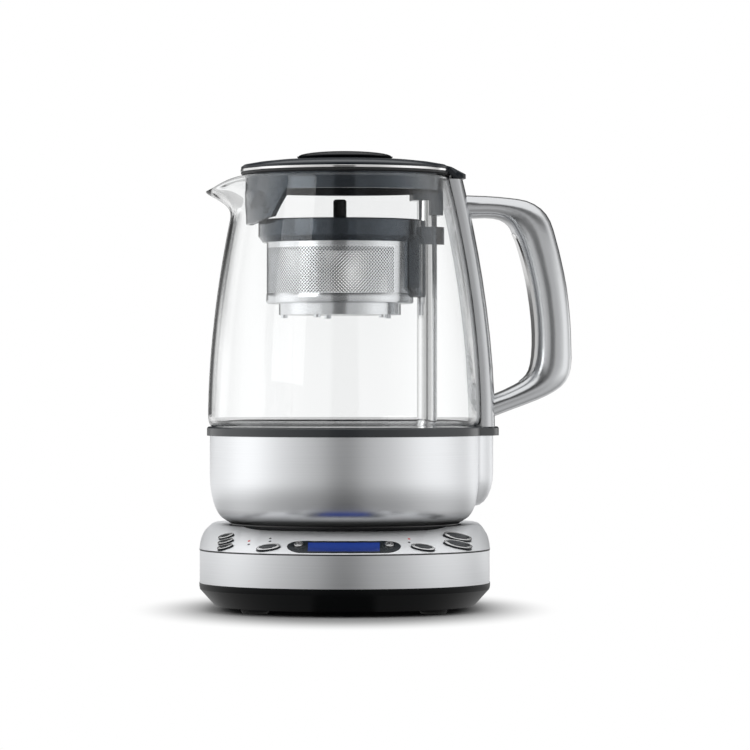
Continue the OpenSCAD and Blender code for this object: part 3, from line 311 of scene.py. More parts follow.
roof = tent.ramp(height, *ROOF_FOOT)
tent_light = tent_light * (1 - roof) + ROOF_LEVEL * roof
seen = tent.add("ShaderNodeLightPath", out="Is Camera Ray")
tent_light = tent_light * (1 - seen) + seen
sky = tent.add("ShaderNodeBackground", values={"Color": (1, 1, 1, 1), "Strength": tent_light})
tent.add("ShaderNodeOutputWorld", values={"Surface": sky})
print("nodes in the tent:", len(tent.tree.nodes))

# %% [markdown]
# The floor is white and far larger than the picture. It has to show a soft
# shadow near the base and melt into the white behind. Lamps strong enough to
# burn it out would bleach the object too. So inside an oval round the base its
# colour is a dark grey, a painted shadow on top of the one the lamps cast, and
# past the oval it turns to plain white light, for the rays that look at it
# straight or through the glass. A mirror shows it as bright as the tent's
# walls, and dimmer close to the object: painted shade, where the real floor
# lies in its shadow.

# %% Floor
FLOOR_SIZE = 12
# Painted shadow: the floor's grey inside the oval round the base
FLOOR_SHADOW_GREY = 0.24
# Distances from the middle; the oval is this much narrower across the picture
SHADOW_FROM, SHADOW_TO = 0.115, 0.225
SHADOW_NARROW = 1.75
MIRROR_FROM, MIRROR_TO = 0.15, 0.7
MIRROR_LEAST = 0.5

bpy.ops.mesh.primitive_plane_add(size=FLOOR_SIZE, location=(jug_axis.x, jug_axis.y, 0))
floor = bpy.context.object
floor.name = "studio_floor"
floor_finish = bpy.data.materials.new("floor_white")
floor_finish.use_nodes = True
plain = Sheet(floor_finish.node_tree)
place = plain.add("ShaderNodeTexCoord", out="Object")
from_middle = plain.add("ShaderNodeVectorMath", {"operation": "LENGTH"}, {0: place}, out="Value")
oval = plain.add("ShaderNodeMapping", values={0: place, "Scale": (SHADOW_NARROW, 1, 1)})
from_base = plain.add("ShaderNodeVectorMath", {"operation": "LENGTH"}, {0: oval}, out="Value")
past_shadow = plain.ramp(from_base, SHADOW_FROM, SHADOW_TO)
# Painted shade: a mirror sees the floor dimmer close to the object
dim = MIRROR_LEAST + (1 - MIRROR_LEAST) * plain.ramp(from_middle, MIRROR_FROM, MIRROR_TO)
looked_at = plain.add("ShaderNodeLightPath", out="Is Camera Ray")
mirrored = plain.add("ShaderNodeLightPath", out="Is Glossy Ray")
looked_through = plain.add("ShaderNodeLightPath", out="Is Transmission Ray")
lit = plain.add("ShaderNodeBsdfDiffuse", values={"Color": (FLOOR_SHADOW_GREY, FLOOR_SHADOW_GREY, FLOOR_SHADOW_GREY, 1)})
level = mirrored * tent_walls(plain, plain.compass(place)) * dim + (1 - mirrored)
white = plain.add("ShaderNodeEmission", values={"Color": (1, 1, 1, 1), "Strength": level})
melting = (looked_at.largest(looked_through) * past_shadow).largest(mirrored)
floor_mix = plain.add("ShaderNodeMixShader", values={0: melting, 1: lit, 2: white})
plain.add("ShaderNodeOutputMaterial", values={"Surface": floor_mix})
floor.data.materials.append(floor_finish)
print("floor:", floor.dimensions)

# %% [markdown]
# Two large soft lamps add what the tent alone lacks: the shadow under the base
# and a little modelling from the left. Metal would mirror them as hard white
# squares, so they are hidden from its rays.

# %% Lamps
AIM_HEIGHT = 120 * MM


def lamp(name, at, size, watts):
    """A square soft light aimed at the jug, which metal doesn't mirror."""
    bpy.ops.object.light_add(type="AREA", location=at)
    light = bpy.context.object
    light.name = name
    light.data.size = size
    light.data.energy = watts
    aim = Vector((jug_axis.x, jug_axis.y, AIM_HEIGHT)) - Vector(at)
    light.rotation_euler = aim.to_track_quat("-Z", "Y").to_euler()
    light.visible_glossy = False
    return light


lamps = [
    lamp("lamp_overhead", at=(0.0, 0.05, 1.3), size=1.5, watts=13),
    lamp("lamp_left", at=(-1.2, -1.0, 0.7), size=0.9, watts=5),
]
bpy.ops.object.select_all(action="DESELECT")
print("lamps:", [light.name for light in lamps])

# %% [markdown]
# ## Finishes
#
# Every finish starts from the same steps: a new material with one Principled
# shader, whose plain numbers are set on its own sockets, and a few textures
# that only vary colour, roughness and bump. Textures read Object coordinates,
# so they stay put and keep their scale in metres.

# %% A helper that starts a finish
class Finish(Sheet):
    """A material: Finish("name", roughness=0.3) sets the shader's own sockets."""

    def __init__(self, name, **numbers):
        self.material = bpy.data.materials.new(name)
        self.material.use_nodes = True
        super().__init__(self.material.node_tree)
        self.shader = self.add("ShaderNodeBsdfPrincipled")
        self.principled = self.tree.nodes[-1]
        for socket, value in numbers.items():
            self.set(socket.replace("_", " ").title(), value)
        self.output = self.add("ShaderNodeOutputMaterial", values={"Surface": self.shader})
        self.here = self.add("ShaderNodeTexCoord", out="Object")

    def set(self, socket, value):
        """Fills or links one socket of the shader."""
        target = self.principled.inputs[socket.replace("Ior", "IOR")]
        if isinstance(value, Output):
            self.tree.links.new(value.socket, target)
        else:
            target.default_value = value

    def height(self):
        """The height of the place that is shaded, in metres."""
        return self.parts(self.here)[2]

    def noise(self, scale, stretch=(1, 1, 1), detail=2.0):
        """Noise from 0 to 1 with scale in turns per metre, stretched by axis."""
        point = self.add("ShaderNodeMapping", values={0: self.here, "Scale": stretch})
        return self.add("ShaderNodeTexNoise", values={0: point, "Scale": scale, "Detail": detail})

    def bump(self, height, depth, strength=1.0):
        """Relief whose full height is depth, in metres."""
        relief = {"Strength": strength, "Distance": depth, "Height": height}
        self.set("Normal", self.add("ShaderNodeBump", values=relief))


def grey(level, tint=(1, 1, 1)):
    """A grey of a level, with a tint if one is given."""
    return (level * tint[0], level * tint[1], level * tint[2], 1)


print("a mid grey:", grey(0.5))

# %% [markdown]
# ** Brushed steel.** A belt of grit leaves thousands of fine parallel scratches
# round the jug and the base. They spread a highlight across the lines and keep
# it sharp along them. A photograph of scratches could be laid on, but a very
# stretched noise makes them at any size: fast across the brushing and slow
# along it. Anisotropy on the shader does the spreading. Two places need more
# in their colour: a thin painted shadow line where the deck meets the skirt,
# for the shade in the gap between them, and a painted shade where the jug's
# shell curves under, which the studio alone leaves too bright.

# %% Brushed steel
STEEL_TINT = (0.985, 1.0, 1.02)
LINE_SCALE, LINE_DETAIL = 60, 3.0
PATCH_SCALE = 9
LINE_SHARE = 0.55
LINE_DARK, LINE_LIGHT = 0.13, 0.07
LINE_DEPTH, LINE_BUMP = 0.03 * MM, 0.25
LINE_GLOSS, PATCH_GLOSS = 0.1, 0.05
SEAM_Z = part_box("base_skirt")[1].z
SEAM_HALF = 0.28 * MM
# Painted shadow: the dark grey of the line where the deck meets the skirt
SEAM_SHADOW_GREY = 0.015
SHADE_RISE = 9 * MM
SHADE_LEVEL = 0.1


def brushed(
    name, level, stretch, rough, lines=1.0, spread=0.55, metal=1.0, seam=False, shade_from=None
):
    """Brushed metal: lines is how strongly it is brushed, spread its anisotropy."""
    finish = Finish(name, metallic=metal, anisotropic=spread)
    fine = finish.noise(LINE_SCALE, stretch, LINE_DETAIL)
    broad = finish.noise(PATCH_SCALE)
    colour = finish.mixed(
        fine * LINE_SHARE + broad * (1 - LINE_SHARE),
        grey(level * (1 - LINE_DARK * lines), STEEL_TINT),
        grey(level * (1 + LINE_LIGHT * lines), STEEL_TINT),
    )
    # Painted shadow: a dark strip at the seam's height, for the shade in the gap
    if seam:
        line = finish.strip(finish.height(), SEAM_Z, SEAM_HALF, SEAM_HALF)
        colour = finish.mixed(line, colour, grey(SEAM_SHADOW_GREY))
    if shade_from is not None:
        lit_up = finish.ramp(finish.height(), shade_from, shade_from + SHADE_RISE)
        colour = finish.mixed(lit_up, grey(SHADE_LEVEL * level), colour)
    finish.set("Base Color", colour)
    gloss = LINE_GLOSS * lines * (fine - 0.5) + PATCH_GLOSS * (broad - 0.5)
    finish.set("Roughness", rough + gloss)
    finish.bump(fine, LINE_DEPTH, LINE_BUMP * lines)
    return finish.material


# How far the noise is squeezed along x, y and z
EVEN = (1, 1, 1)
ROUND = (0.25, 0.25, 40)
UPRIGHT = (40, 40, 0.3)
CROSSWAYS = (0.3, 26, 26)
ALONG_GRIP = (1, 30, 1)
SHELL_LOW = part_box("jug_shell")[0].z
skirt_steel = brushed("brushed_skirt_steel", 0.86, ROUND, 0.36, seam=True)
shell_steel = brushed("brushed_jug_steel", 0.93, ROUND, 0.33, shade_from=SHELL_LOW + 1 * MM)
deck_steel = brushed(
    "satin_deck_steel", 0.88, CROSSWAYS, 0.38, lines=0.6, spread=0.2, metal=0.34, seam=True
)
spine_steel = brushed("brushed_spine_steel", 0.6, UPRIGHT, 0.24, lines=0.6, spread=0.3)
grip_steel = brushed("satin_grip_steel", 0.72, ALONG_GRIP, 0.22, lines=0.5, spread=0.3)
plate_steel = brushed("spun_plate_steel", 0.75, EVEN, 0.18, lines=0.5, spread=0.4)
basket_steel = brushed("rolled_basket_steel", 0.8, ROUND, 0.16, lines=0.5, spread=0.3)
screen_steel = brushed("perforated_screen_steel", 0.86, EVEN, 0.22, lines=0.4, spread=0.0)
print("seam at:", SEAM_Z, " shell's lowest edge at:", SHELL_LOW)

# %% [markdown]
# **Polished metal.** The post, the trim and the buttons' rims are polished or
# plated. One number for roughness would do, but real polish carries a faint
# haze of wiping marks, so a fine noise varies the gloss a little.

# %% Polished and plated metal
HAZE_SCALE, HAZE_DETAIL = 160, 4.0
HAZE_DARK, HAZE_GLOSS = 0.95, 0.05


def polished(name, level, rough):
    """Smooth bright metal with the faintest haze of wiping marks."""
    finish = Finish(name, metallic=1.0)
    haze = finish.noise(HAZE_SCALE, detail=HAZE_DETAIL)
    finish.set("Base Color", finish.mixed(haze, grey(level * HAZE_DARK), grey(level)))
    finish.set("Roughness", rough + HAZE_GLOSS * haze)
    return finish.material


chrome = polished("post_chrome", 0.82, 0.05)
bright_trim = polished("trim_polished", 0.86, 0.06)
inlay_bright = polished("inlay_polished", 0.9, 0.1)
nickel = polished("magnet_nickel_plate", 0.7, 0.2)
zinc = polished("motor_zinc", 0.5, 0.4)
dull_metal = polished("element_dull_metal", 0.3, 0.45)
fastener = polished("fastener_zinc", 0.55, 0.3)
button_rim = polished("button_rim_bright", 0.8, 0.16)
button_silver = polished("button_silver_satin", 0.6, 0.28)
print("finishes so far:", len(bpy.data.materials))

# %% [markdown]
# **Plastics.** Moulded plastic is never quite flat in colour or gloss: the
# mould leaves a fine grain and hands leave a faint sheen. A plain colour would
# look like paint, so a fine and a broad noise drive both, and each plastic has
# its own depth of grain. The grey plastic of the lid's skirt and the basket's
# frame has metal flake in it, which a metallic share and a thin coat imitate.

# %% Plastics and rubber
COAT_ROUGH = 0.06
GRAIN_DETAIL = 3.0
GRAIN_DEPTH = 0.02 * MM
GRAIN_SHARE = 0.4
SHEEN_SCALE = 14
GRAIN_GLOSS, SHEEN_GLOSS = 0.06, 0.08
PLASTIC_DARK, PLASTIC_LIGHT = 0.82, 1.16


def moulded(name, colour, rough, grain=0.2, coat=0.0, metallic=0.0, scale=900, gloss=0.5):
    """Plastic with a fine grain, scale in turns per metre, and a broad sheen."""
    finish = Finish(
        name, metallic=metallic, coat_weight=coat, coat_roughness=COAT_ROUGH, specular_ior_level=gloss
    )
    fine = finish.noise(scale, detail=GRAIN_DETAIL)
    broad = finish.noise(SHEEN_SCALE)
    dark = tuple(PLASTIC_DARK * c for c in colour)
    light = tuple(PLASTIC_LIGHT * c for c in colour)
    share = fine * GRAIN_SHARE + broad * (1 - GRAIN_SHARE)
    finish.set("Base Color", finish.mixed(share, (*dark, 1), (*light, 1)))
    finish.set("Roughness", rough + SHEEN_GLOSS * (broad - 0.5) + GRAIN_GLOSS * (fine - 0.5))
    finish.bump(fine, GRAIN_DEPTH, grain)
    return finish.material


pan_black = moulded("pan_moulded_black", (0.004, 0.0045, 0.005), 0.34, grain=0.15, gloss=0.15)
foot_black = moulded("foot_moulded_black", (0.010, 0.011, 0.012), 0.35, grain=0.15, coat=0.2)
band_black = moulded("band_satin_black", (0.022, 0.026, 0.030), 0.34, grain=0.1, coat=0.25)
bezel_black = moulded("bezel_gloss_black", (0.010, 0.013, 0.016), 0.22, grain=0.05, gloss=0.4)
knob_black = moulded("knob_satin_black", (0.004, 0.005, 0.006), 0.24, grain=0.1, gloss=0.25)
lid_gloss = moulded("lid_gloss_slate", (0.012, 0.016, 0.021), 0.16, grain=0.03, gloss=0.4)
flake = {"rough": 0.16, "grain": 0.04, "coat": 0.3, "metallic": 0.8}
lid_grey = moulded("lid_grey_flake", (0.050, 0.062, 0.075), **flake)
basket_grey = moulded("basket_grey_flake", (0.060, 0.073, 0.088), **flake)
seal_black = moulded("seal_silicone", (0.016, 0.017, 0.018), 0.5, grain=0.1)
rubber = moulded("foot_rubber_black", (0.018, 0.018, 0.018), 0.7, grain=0.6, scale=500)
dark_plastic = moulded("inner_dark_plastic", (0.03, 0.032, 0.035), 0.45)
# Painted shade: the inside of the drum, which lies dark under the lid
screen_inside_painted_shade = moulded("screen_inner_shade", (0.012, 0.013, 0.015), 0.5, grain=0.1, gloss=0.2)
button_dark = moulded("button_dark_gloss", (0.010, 0.013, 0.016), 0.24, grain=0.03, gloss=0.3)
board_green = moulded("circuit_board_green", (0.01, 0.09, 0.03), 0.4, grain=0.5, coat=0.3)
relay_blue = moulded("relay_case_blue", (0.02, 0.06, 0.3), 0.35)
coil_yellow = moulded("coil_tape_yellow", (0.6, 0.42, 0.06), 0.4)
print("finishes so far:", len(bpy.data.materials))

# %% [markdown]
# **Glass.** The jug's glass is clear and hard, and light passes through it
# almost untouched. The Principled shader's transmission does this. The light
# of a lamp finds its way through such glass only after a very long wait, so
# rays that look for a lamp get a clear surface instead.

# %% Glass
GLASS_IOR = 1.47
FILM_SCALE, FILM_ROUGH = 24, 0.004
CLEAR_TINT = (0.95, 0.96, 0.96)


def clear_glass(name, tint):
    """Clear glass whose gloss varies a very little, as under a thin film."""
    finish = Finish(name, transmission_weight=1.0, ior=GLASS_IOR, base_color=(*tint, 1))
    finish.set("Roughness", FILM_ROUGH * finish.noise(FILM_SCALE))
    to_lamp = finish.add("ShaderNodeLightPath", out="Is Shadow Ray")
    clear = finish.add("ShaderNodeBsdfTransparent", values={"Color": (*CLEAR_TINT, 1)})
    both = finish.add("ShaderNodeMixShader", values={0: to_lamp, 1: finish.shader, 2: clear})
    finish.tree.links.new(both.socket, finish.output.inputs["Surface"])
    return finish.material


jug_clear = clear_glass("jug_clear_glass", (0.985, 0.99, 0.99))
print("glass:", jug_clear.name)

# %% [markdown]
# **The display.** It is a small blue liquid-crystal window, lit from behind.
# The light falls off a little towards its lower edge. A small lamp behind the
# window could do this, but a ramp over its height that mixes two blues does it
# without noise, and the same blues glow softly.

# %% Display
LOW_BLUE = (0.006, 0.018, 0.12, 1)
HIGH_BLUE = (0.012, 0.042, 0.26, 1)
DISPLAY_GLOW = 0.06
lens_low, lens_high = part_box("display_lens")
display = Finish("display_blue_glass", roughness=0.2, coat_weight=0.15, coat_roughness=0.03)
upper = display.ramp(display.height(), lens_low.z, lens_high.z)
blues = display.mixed(upper, LOW_BLUE, HIGH_BLUE)
display.set("Base Color", blues)
display.set("Emission Color", blues)
display.set("Emission Strength", DISPLAY_GLOW)
print("display from", lens_low.z, "to", lens_high.z)

# %% [markdown]
# **Indicator lights.** Seven tiny lenses show the state of the machine. The
# upper one of each outer group is red and the rest are dark. The red ones glow
# by themselves here, since a lamp in each would cost more than it shows.

# %% Indicator lights
CLOUD_SCALE = 700
CLOUD_DARK = 0.7
LENS_ROUGH, CLOUD_GLOSS = 0.25, 0.1


def light_pipe(name, colour, glow):
    """A small cloudy lens, which glows in its own colour."""
    finish = Finish(name, coat_weight=0.5, coat_roughness=0.05)
    cloud = finish.noise(CLOUD_SCALE)
    cloudy = tuple(CLOUD_DARK * c for c in colour)
    finish.set("Base Color", finish.mixed(cloud, (*colour, 1), (*cloudy, 1)))
    finish.set("Roughness", LENS_ROUGH + CLOUD_GLOSS * cloud)
    finish.set("Emission Color", (*colour, 1))
    finish.set("Emission Strength", glow)
    return finish.material


light_red = light_pipe("indicator_red", (0.5, 0.03, 0.025), glow=0.35)
light_dark = light_pipe("indicator_dark", (0.01, 0.011, 0.012), glow=0.0)
print("all finishes:", len(bpy.data.materials))

# %% [markdown]
# ## Dressing the ready-made pieces
#
# Most pieces have the right shape already, so they only change material. One
# table pairs each finish with its pieces.

# %% Give the ready-made pieces their finishes
DRESS = {
    rubber: ["rubber_feet"],
    pan_black: ["base_pan", "connector_socket", "connector_plug", "cord_gland"],
    skirt_steel: ["base_skirt"],
    deck_steel: ["control_deck"],
    bezel_black: ["display_bezel"],
    display.material: ["display_lens"],
    dark_plastic: ["display_module", "tact_switches", "drive_carriage"],
    board_green: ["switch_carrier", "power_board"],
    relay_blue: ["mains_relay"],
    coil_yellow: ["transformer"],
    fastener: ["base_screws", "handle_screws", "lid_screws", "lead_screw", "temperature_sensor"],
    foot_black: ["jug_foot"],
    shell_steel: ["jug_shell"],
    band_black: ["jug_band"],
    seal_black: ["glass_seal", "lid_seal"],
    jug_clear: ["glass_jug"],
    plate_steel: ["heater_plate"],
    dull_metal: ["heating_element"],
    spine_steel: ["handle_spine"],
    grip_steel: ["handle_grip"],
    inlay_bright: ["grip_inlay"],
    chrome: ["lift_post"],
    zinc: ["lift_motor"],
    lid_gloss: ["lid_cover"],
    knob_black: ["lid_knob", "basket_lid_stem"],
    bright_trim: ["lid_trim_ring"],
    lid_grey: ["lid_skirt", "spout_strainer"],
    basket_grey: ["basket_frame"],
    basket_steel: ["basket_drum", "basket_ring", "basket_lid"],
    nickel: ["basket_magnets"],
    button_dark: [
        "left_button_upper", "left_button_middle", "left_button_lower", "left_oval_button",
        "right_oval_button", "large_button_upper", "large_button_lower",
        "minus_button", "plus_button",
    ],
    light_dark: ["indicator_lights"],
}
for finish, names in DRESS.items():
    for name in names:
        mesh = nodes[name].data
        mesh.materials.clear()
        mesh.materials.append(finish)
print("dressed:", sum(len(names) for names in DRESS.values()), "of", len(nodes))

# %% [markdown]
# The lights are one node of separate lenses. They could be cut apart, but a
# mesh can hold more than one finish: the upper lens of each outer group takes
# the second one, red.

# %% Red lenses
RED_COLUMNS = (-55.2 * MM, 37.6 * MM)
COLUMN_HALF = 2 * MM
lenses = nodes["indicator_lights"].data
lenses.materials.append(light_red)
for x in RED_COLUMNS:
    column = [
        face for face in lenses.polygons if abs(face.center.x - jug_axis.x - x) < COLUMN_HALF
    ]
    half_way = sum(face.center.y for face in column) / len(column)
    for face in column:
        face.material_index = 1 if face.center.y > half_way else 0
print("red faces:", sum(face.material_index for face in lenses.polygons))

# %% [markdown]
# ## Modelling helpers
#
# The pieces below are modelled as by hand: a primitive is put down, shaped in
# edit mode and finished with modifiers. A round piece starts as a ring of
# points that is extruded from height to height and widened or narrowed there.
# Each helper does one such step, so that a piece reads as a short list.

# %% Helpers for edit mode
WELD = 0.001 * MM


def only(piece):
    """Makes a piece the only selected one."""
    bpy.ops.object.select_all(action="DESELECT")
    piece.select_set(True)
    bpy.context.view_layer.objects.active = piece


def pick(kind, test):
    """Selects what passes a test, in edit mode: verts, edges or faces."""
    bpy.ops.mesh.select_all(action="DESELECT")
    mesh = bmesh.from_edit_mesh(bpy.context.object.data)
    for element in getattr(mesh, kind):
        element.select_set(test(element))
    mesh.select_flush_mode()
    bmesh.update_edit_mesh(bpy.context.object.data)


def turned(name, profile, sides=96):
    """A round piece from a list of (radius, height), by extruding a ring."""
    radius, height = profile[0]
    bpy.ops.mesh.primitive_circle_add(vertices=sides, radius=radius, location=(0, 0, height))
    bpy.ops.object.transform_apply(location=True, rotation=False, scale=False)
    bpy.context.object.name = name
    bpy.ops.object.mode_set(mode="EDIT")
    bpy.ops.mesh.select_mode(type="EDGE")
    bpy.ops.mesh.select_all(action="SELECT")
    for new_radius, new_height in profile[1:]:
        bpy.ops.mesh.extrude_region_move(
            TRANSFORM_OT_translate={"value": (0, 0, new_height - height)}
        )
        size = new_radius / radius
        bpy.ops.transform.resize(value=(size, size, 1), center_override=(0, 0, new_height))
        radius, height = new_radius, new_height
    bpy.ops.mesh.select_all(action="SELECT")
    bpy.ops.mesh.remove_doubles(threshold=WELD)
    bpy.ops.mesh.normals_make_consistent(inside=False)
    bpy.ops.object.mode_set(mode="OBJECT")
    return bpy.context.object


def put(piece, axis, turn=0.0):
    """Moves a piece from the origin to an axis of the frame."""
    piece.matrix_world = Matrix.Translation((axis.x, axis.y, 0)) @ Matrix.Rotation(turn, 4, "Z")
    only(piece)
    bpy.ops.object.transform_apply(location=True, rotation=True, scale=True)


def modify(piece, kind, **settings):
    """Adds a modifier, sets it and applies it."""
    only(piece)
    modifier = piece.modifiers.new(kind.lower(), kind)
    for name, value in settings.items():
        setattr(modifier, name, value)
    bpy.ops.object.modifier_apply(modifier=modifier.name)


def hand_over(piece, finish, body, slot, *nodes_replaced, angle=35):
    """Shades a piece, gives it its finish and lets it ride on its body."""
    only(piece)
    bpy.ops.object.shade_smooth_by_angle(angle=math.radians(angle))
    if finish is not None:
        piece.data.materials.clear()
        piece.data.materials.append(finish)
    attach(piece, body)
    if nodes_replaced:
        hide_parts(*nodes_replaced)
    print(piece.name, "has", len(piece.data.polygons), "faces and rides on", body)
    return piece


# %% [markdown]
# ## Glass
#
# The glass wall narrows towards the rim along a soft curve, and runs out into
# a pouring spout on the left. A spout could be joined on, but blown glass has
# no joint there. So a ring is extruded up the wall, and each point is moved
# out by how near it is to the spout: the share is 1 at the tip, falls to 0 on
# both sides, and grows with height. The lip dips along with it. A wall
# thickness and a subdivision finish the piece.

# %% Sizes and curves of the glass wall
GLASS_R = 81.5 * MM
SEAT_R = 78.6 * MM
RIM_R = 62.5 * MM
GLASS_WALL = 2.3 * MM
RIM_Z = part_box("glass_jug")[1].z
BAND_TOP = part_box("jug_band")[1].z
FOOT_Z = BAND_TOP - 2 * MM
WALL_START = BAND_TOP + 1.2 * MM
KNEE = 3.5 * MM
WALL_RISE = RIM_Z - BAND_TOP
WALL_BEND = 1.86
JUG_TURN = math.radians(6)
SPOUT_HALF = math.radians(34)
SPOUT_REACH = 18.9 * MM
SPOUT_DROP = 10.7 * MM
SPOUT_DEPTH = 21.5 * MM
# How sharply the spout narrows to its tip, and its lip and throat bend
TIP_BEND, LIP_BEND, THROAT_BEND = 1.15, 2.3, 1.5
# Rings of the wall as shares of its height, closer together towards the rim
RINGS = (
    0, 0.08, 0.18, 0.28, 0.38, 0.48, 0.57, 0.65, 0.72, 0.78, 0.83, 0.87, 0.9, 0.93, 0.96, 0.98, 1
)


def glass_radius(z):
    """The wall's radius at a height, without the spout."""
    up = max(0.0, z - BAND_TOP - KNEE) / (WALL_RISE - KNEE)
    return GLASS_R - (GLASS_R - RIM_R) * up ** WALL_BEND


def spout_share(angle):
    """1 at the spout's tip and 0 beyond its sides."""
    near = min(1.0, max(0.0, 1 - abs(abs(angle) - math.pi) / SPOUT_HALF))
    return (near * near * (3 - 2 * near)) ** TIP_BEND


print("glass from", FOOT_Z, "to", RIM_Z)

# %% [markdown]
# The wall is turned first, with a seat below it that stands in the black band,
# and only what lies above the seat is drawn into the spout.

# %% Glass wall with its spout
rings = [WALL_START + share * (RIM_Z - WALL_START) for share in RINGS]
seat = [(SEAT_R, FOOT_Z), (SEAT_R + 0.1 * MM, BAND_TOP + 0.1 * MM)]
glass = turned("glass_wall", seat + [(glass_radius(z), z) for z in rings])
for point in glass.data.vertices:
    place = point.co
    if place.z < WALL_START - MM / 2:
        continue
    angle = math.atan2(place.y, place.x)
    share = spout_share(angle)
    lip = RIM_Z - SPOUT_DROP * share ** LIP_BEND
    z = WALL_START + (place.z - WALL_START) * (lip - WALL_START) / (RIM_Z - WALL_START)
    throat = max(0.0, min(1.0, (z - RIM_Z + SPOUT_DEPTH) / (SPOUT_DEPTH - SPOUT_DROP)))
    radius = glass_radius(z) + share * SPOUT_REACH * throat ** THROAT_BEND
    point.co = (radius * math.cos(angle), radius * math.sin(angle), z)
modify(glass, "SOLIDIFY", thickness=GLASS_WALL, offset=-1, use_even_offset=False)
modify(glass, "SUBSURF", levels=2)
put(glass, jug_axis, JUG_TURN)
hand_over(glass, jug_clear, "jug", "jug_glass", "glass_jug", angle=80)

# %% [markdown]
# ## Infuser drum
#
# The drum is rolled from a sheet with thousands of fine staggered holes. Cutting
# each one with a boolean would take minutes. A flat grid becomes a sheet of
# diamonds instead: poking puts a point in each square, and dissolving the old
# edges joins the triangles across them. Each diamond is inset and its middle
# deleted, which leaves the holes. Then the sheet is rolled up. Towards the arm
# it stays plain. The sheet's inner faces get a dark colour, painted shade for
# the inside of the drum under the lid, because such fine holes would otherwise
# wash out to a pale grey.

# %% Perforated sheet of the drum
DRUM_R = 43.5 * MM
DRUM_BAND = 6 * MM
SHEET_WALL = 0.5 * MM
CELLS_ROUND = 132
CELL = math.tau * DRUM_R / CELLS_ROUND
ROWS = 14
HOLE_WEB = 0.21 * MM
HOLES_FROM, HOLES_TO = -222, 48   # compass angles, 0 towards the camera
drum_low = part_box("basket_drum")[0].z
drum_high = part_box("basket_drum")[1].z


def old_edge(edge):
    """True for the grid's own edges inside the sheet, which run straight."""
    run = edge.verts[1].co - edge.verts[0].co
    return min(abs(run.x), abs(run.y)) < CELL / 10 and len(edge.link_faces) == 2


def punch_holes():
    """Turns the active flat grid into diamonds, each with a hole."""
    bpy.ops.object.mode_set(mode="EDIT")
    bpy.ops.mesh.select_mode(type="FACE")
    bpy.ops.mesh.select_all(action="SELECT")
    bpy.ops.mesh.poke()
    bpy.ops.mesh.select_mode(type="EDGE")
    pick("edges", old_edge)
    bpy.ops.mesh.dissolve_edges(use_verts=False)
    bpy.ops.mesh.select_mode(type="FACE")
    pick("faces", lambda face: len(face.verts) == 4)
    bpy.ops.mesh.inset(thickness=HOLE_WEB, use_individual=True)
    bpy.ops.mesh.delete(type="FACE")
    bpy.ops.object.mode_set(mode="OBJECT")


def rolled(name, first, last, low, holes):
    """A strip of the drum's sheet between two compass angles."""
    columns = round(math.radians(last - first) * DRUM_R / CELL)
    bpy.ops.mesh.primitive_grid_add(x_subdivisions=columns, y_subdivisions=ROWS, size=1)
    strip = bpy.context.object
    strip.name = name
    strip.scale = (columns * CELL, ROWS * CELL, 1)
    bpy.ops.object.transform_apply(location=False, rotation=False, scale=True)
    if holes:
        punch_holes()
    start = math.radians(first) + columns * CELL / 2 / DRUM_R
    for point in strip.data.vertices:
        angle = start + point.co.x / DRUM_R
        height = low + ROWS * CELL / 2 + point.co.y
        point.co = (DRUM_R * math.sin(angle), -DRUM_R * math.cos(angle), height)
    modify(strip, "SOLIDIFY", thickness=SHEET_WALL, offset=-1)
    put(strip, basket_axis)
    return strip


screen_low = drum_low + DRUM_BAND - CELL / 2
screen = rolled("drum_screen", HOLES_FROM, HOLES_TO, screen_low, holes=True)
hand_over(screen, screen_steel, "basket", "basket_steel", "basket_drum")
# The inner faces take the painted shade
screen.data.materials.append(screen_inside_painted_shade)
for face in screen.data.polygons:
    outwards = face.center - Vector((basket_axis.x, basket_axis.y, face.center.z))
    face.material_index = 0 if face.normal.dot(outwards) > 0 else 1
plain_strip = rolled("drum_plain_strip", HOLES_TO, HOLES_FROM + 360, screen_low, holes=False)
hand_over(plain_strip, basket_steel, "basket", "basket_steel")

# %% [markdown]
# The foot of the drum is a smooth band with a rolled lower edge and an opening
# in its floor, and its rim hangs on the collar. Both are round, so each is
# turned from the outline of its wall.

# %% Foot and rim of the drum
BAND_WALL = 0.8 * MM
BAND_PROUD = 0.3 * MM
RIM_PROUD = 1.9 * MM
FLOOR_HOLE_R = 33.3 * MM
band_in = DRUM_R - BAND_WALL
band_out = DRUM_R + BAND_PROUD
band_top = drum_low + DRUM_BAND
drum_foot = turned("drum_foot", [
    (FLOOR_HOLE_R, drum_low + BAND_WALL), (FLOOR_HOLE_R, drum_low), (DRUM_R - 1.2 * MM, drum_low),
    (DRUM_R, drum_low + 0.35 * MM), (band_out, drum_low + 1.1 * MM),
    (band_out, band_top - 0.5 * MM), (DRUM_R + 0.1 * MM, band_top),
    (band_in, band_top), (band_in, drum_low + BAND_WALL), (FLOOR_HOLE_R, drum_low + BAND_WALL),
])
put(drum_foot, basket_axis)
hand_over(drum_foot, basket_steel, "basket", "basket_steel", angle=50)
rim_low = screen_low + ROWS * CELL - CELL / 2
rim_out = DRUM_R + RIM_PROUD
drum_rim = turned("drum_rim", [
    (band_in, rim_low), (DRUM_R, rim_low), (DRUM_R, drum_high - 1.6 * MM),
    (rim_out, drum_high - 0.9 * MM), (rim_out, drum_high),
    (band_in, drum_high), (band_in, rim_low),
])
put(drum_rim, basket_axis)
hand_over(drum_rim, basket_steel, "basket", "basket_steel", angle=50)

# %% [markdown]
# ## Smooth copies
#
# Some ready-made pieces have the right shape but are made of flat facets, and
# modelling them again would only repeat that shape. A copy with its points
# merged can be shaded as one surface: only edges sharper than a given angle
# stay crisp. The copy then stands for the piece.

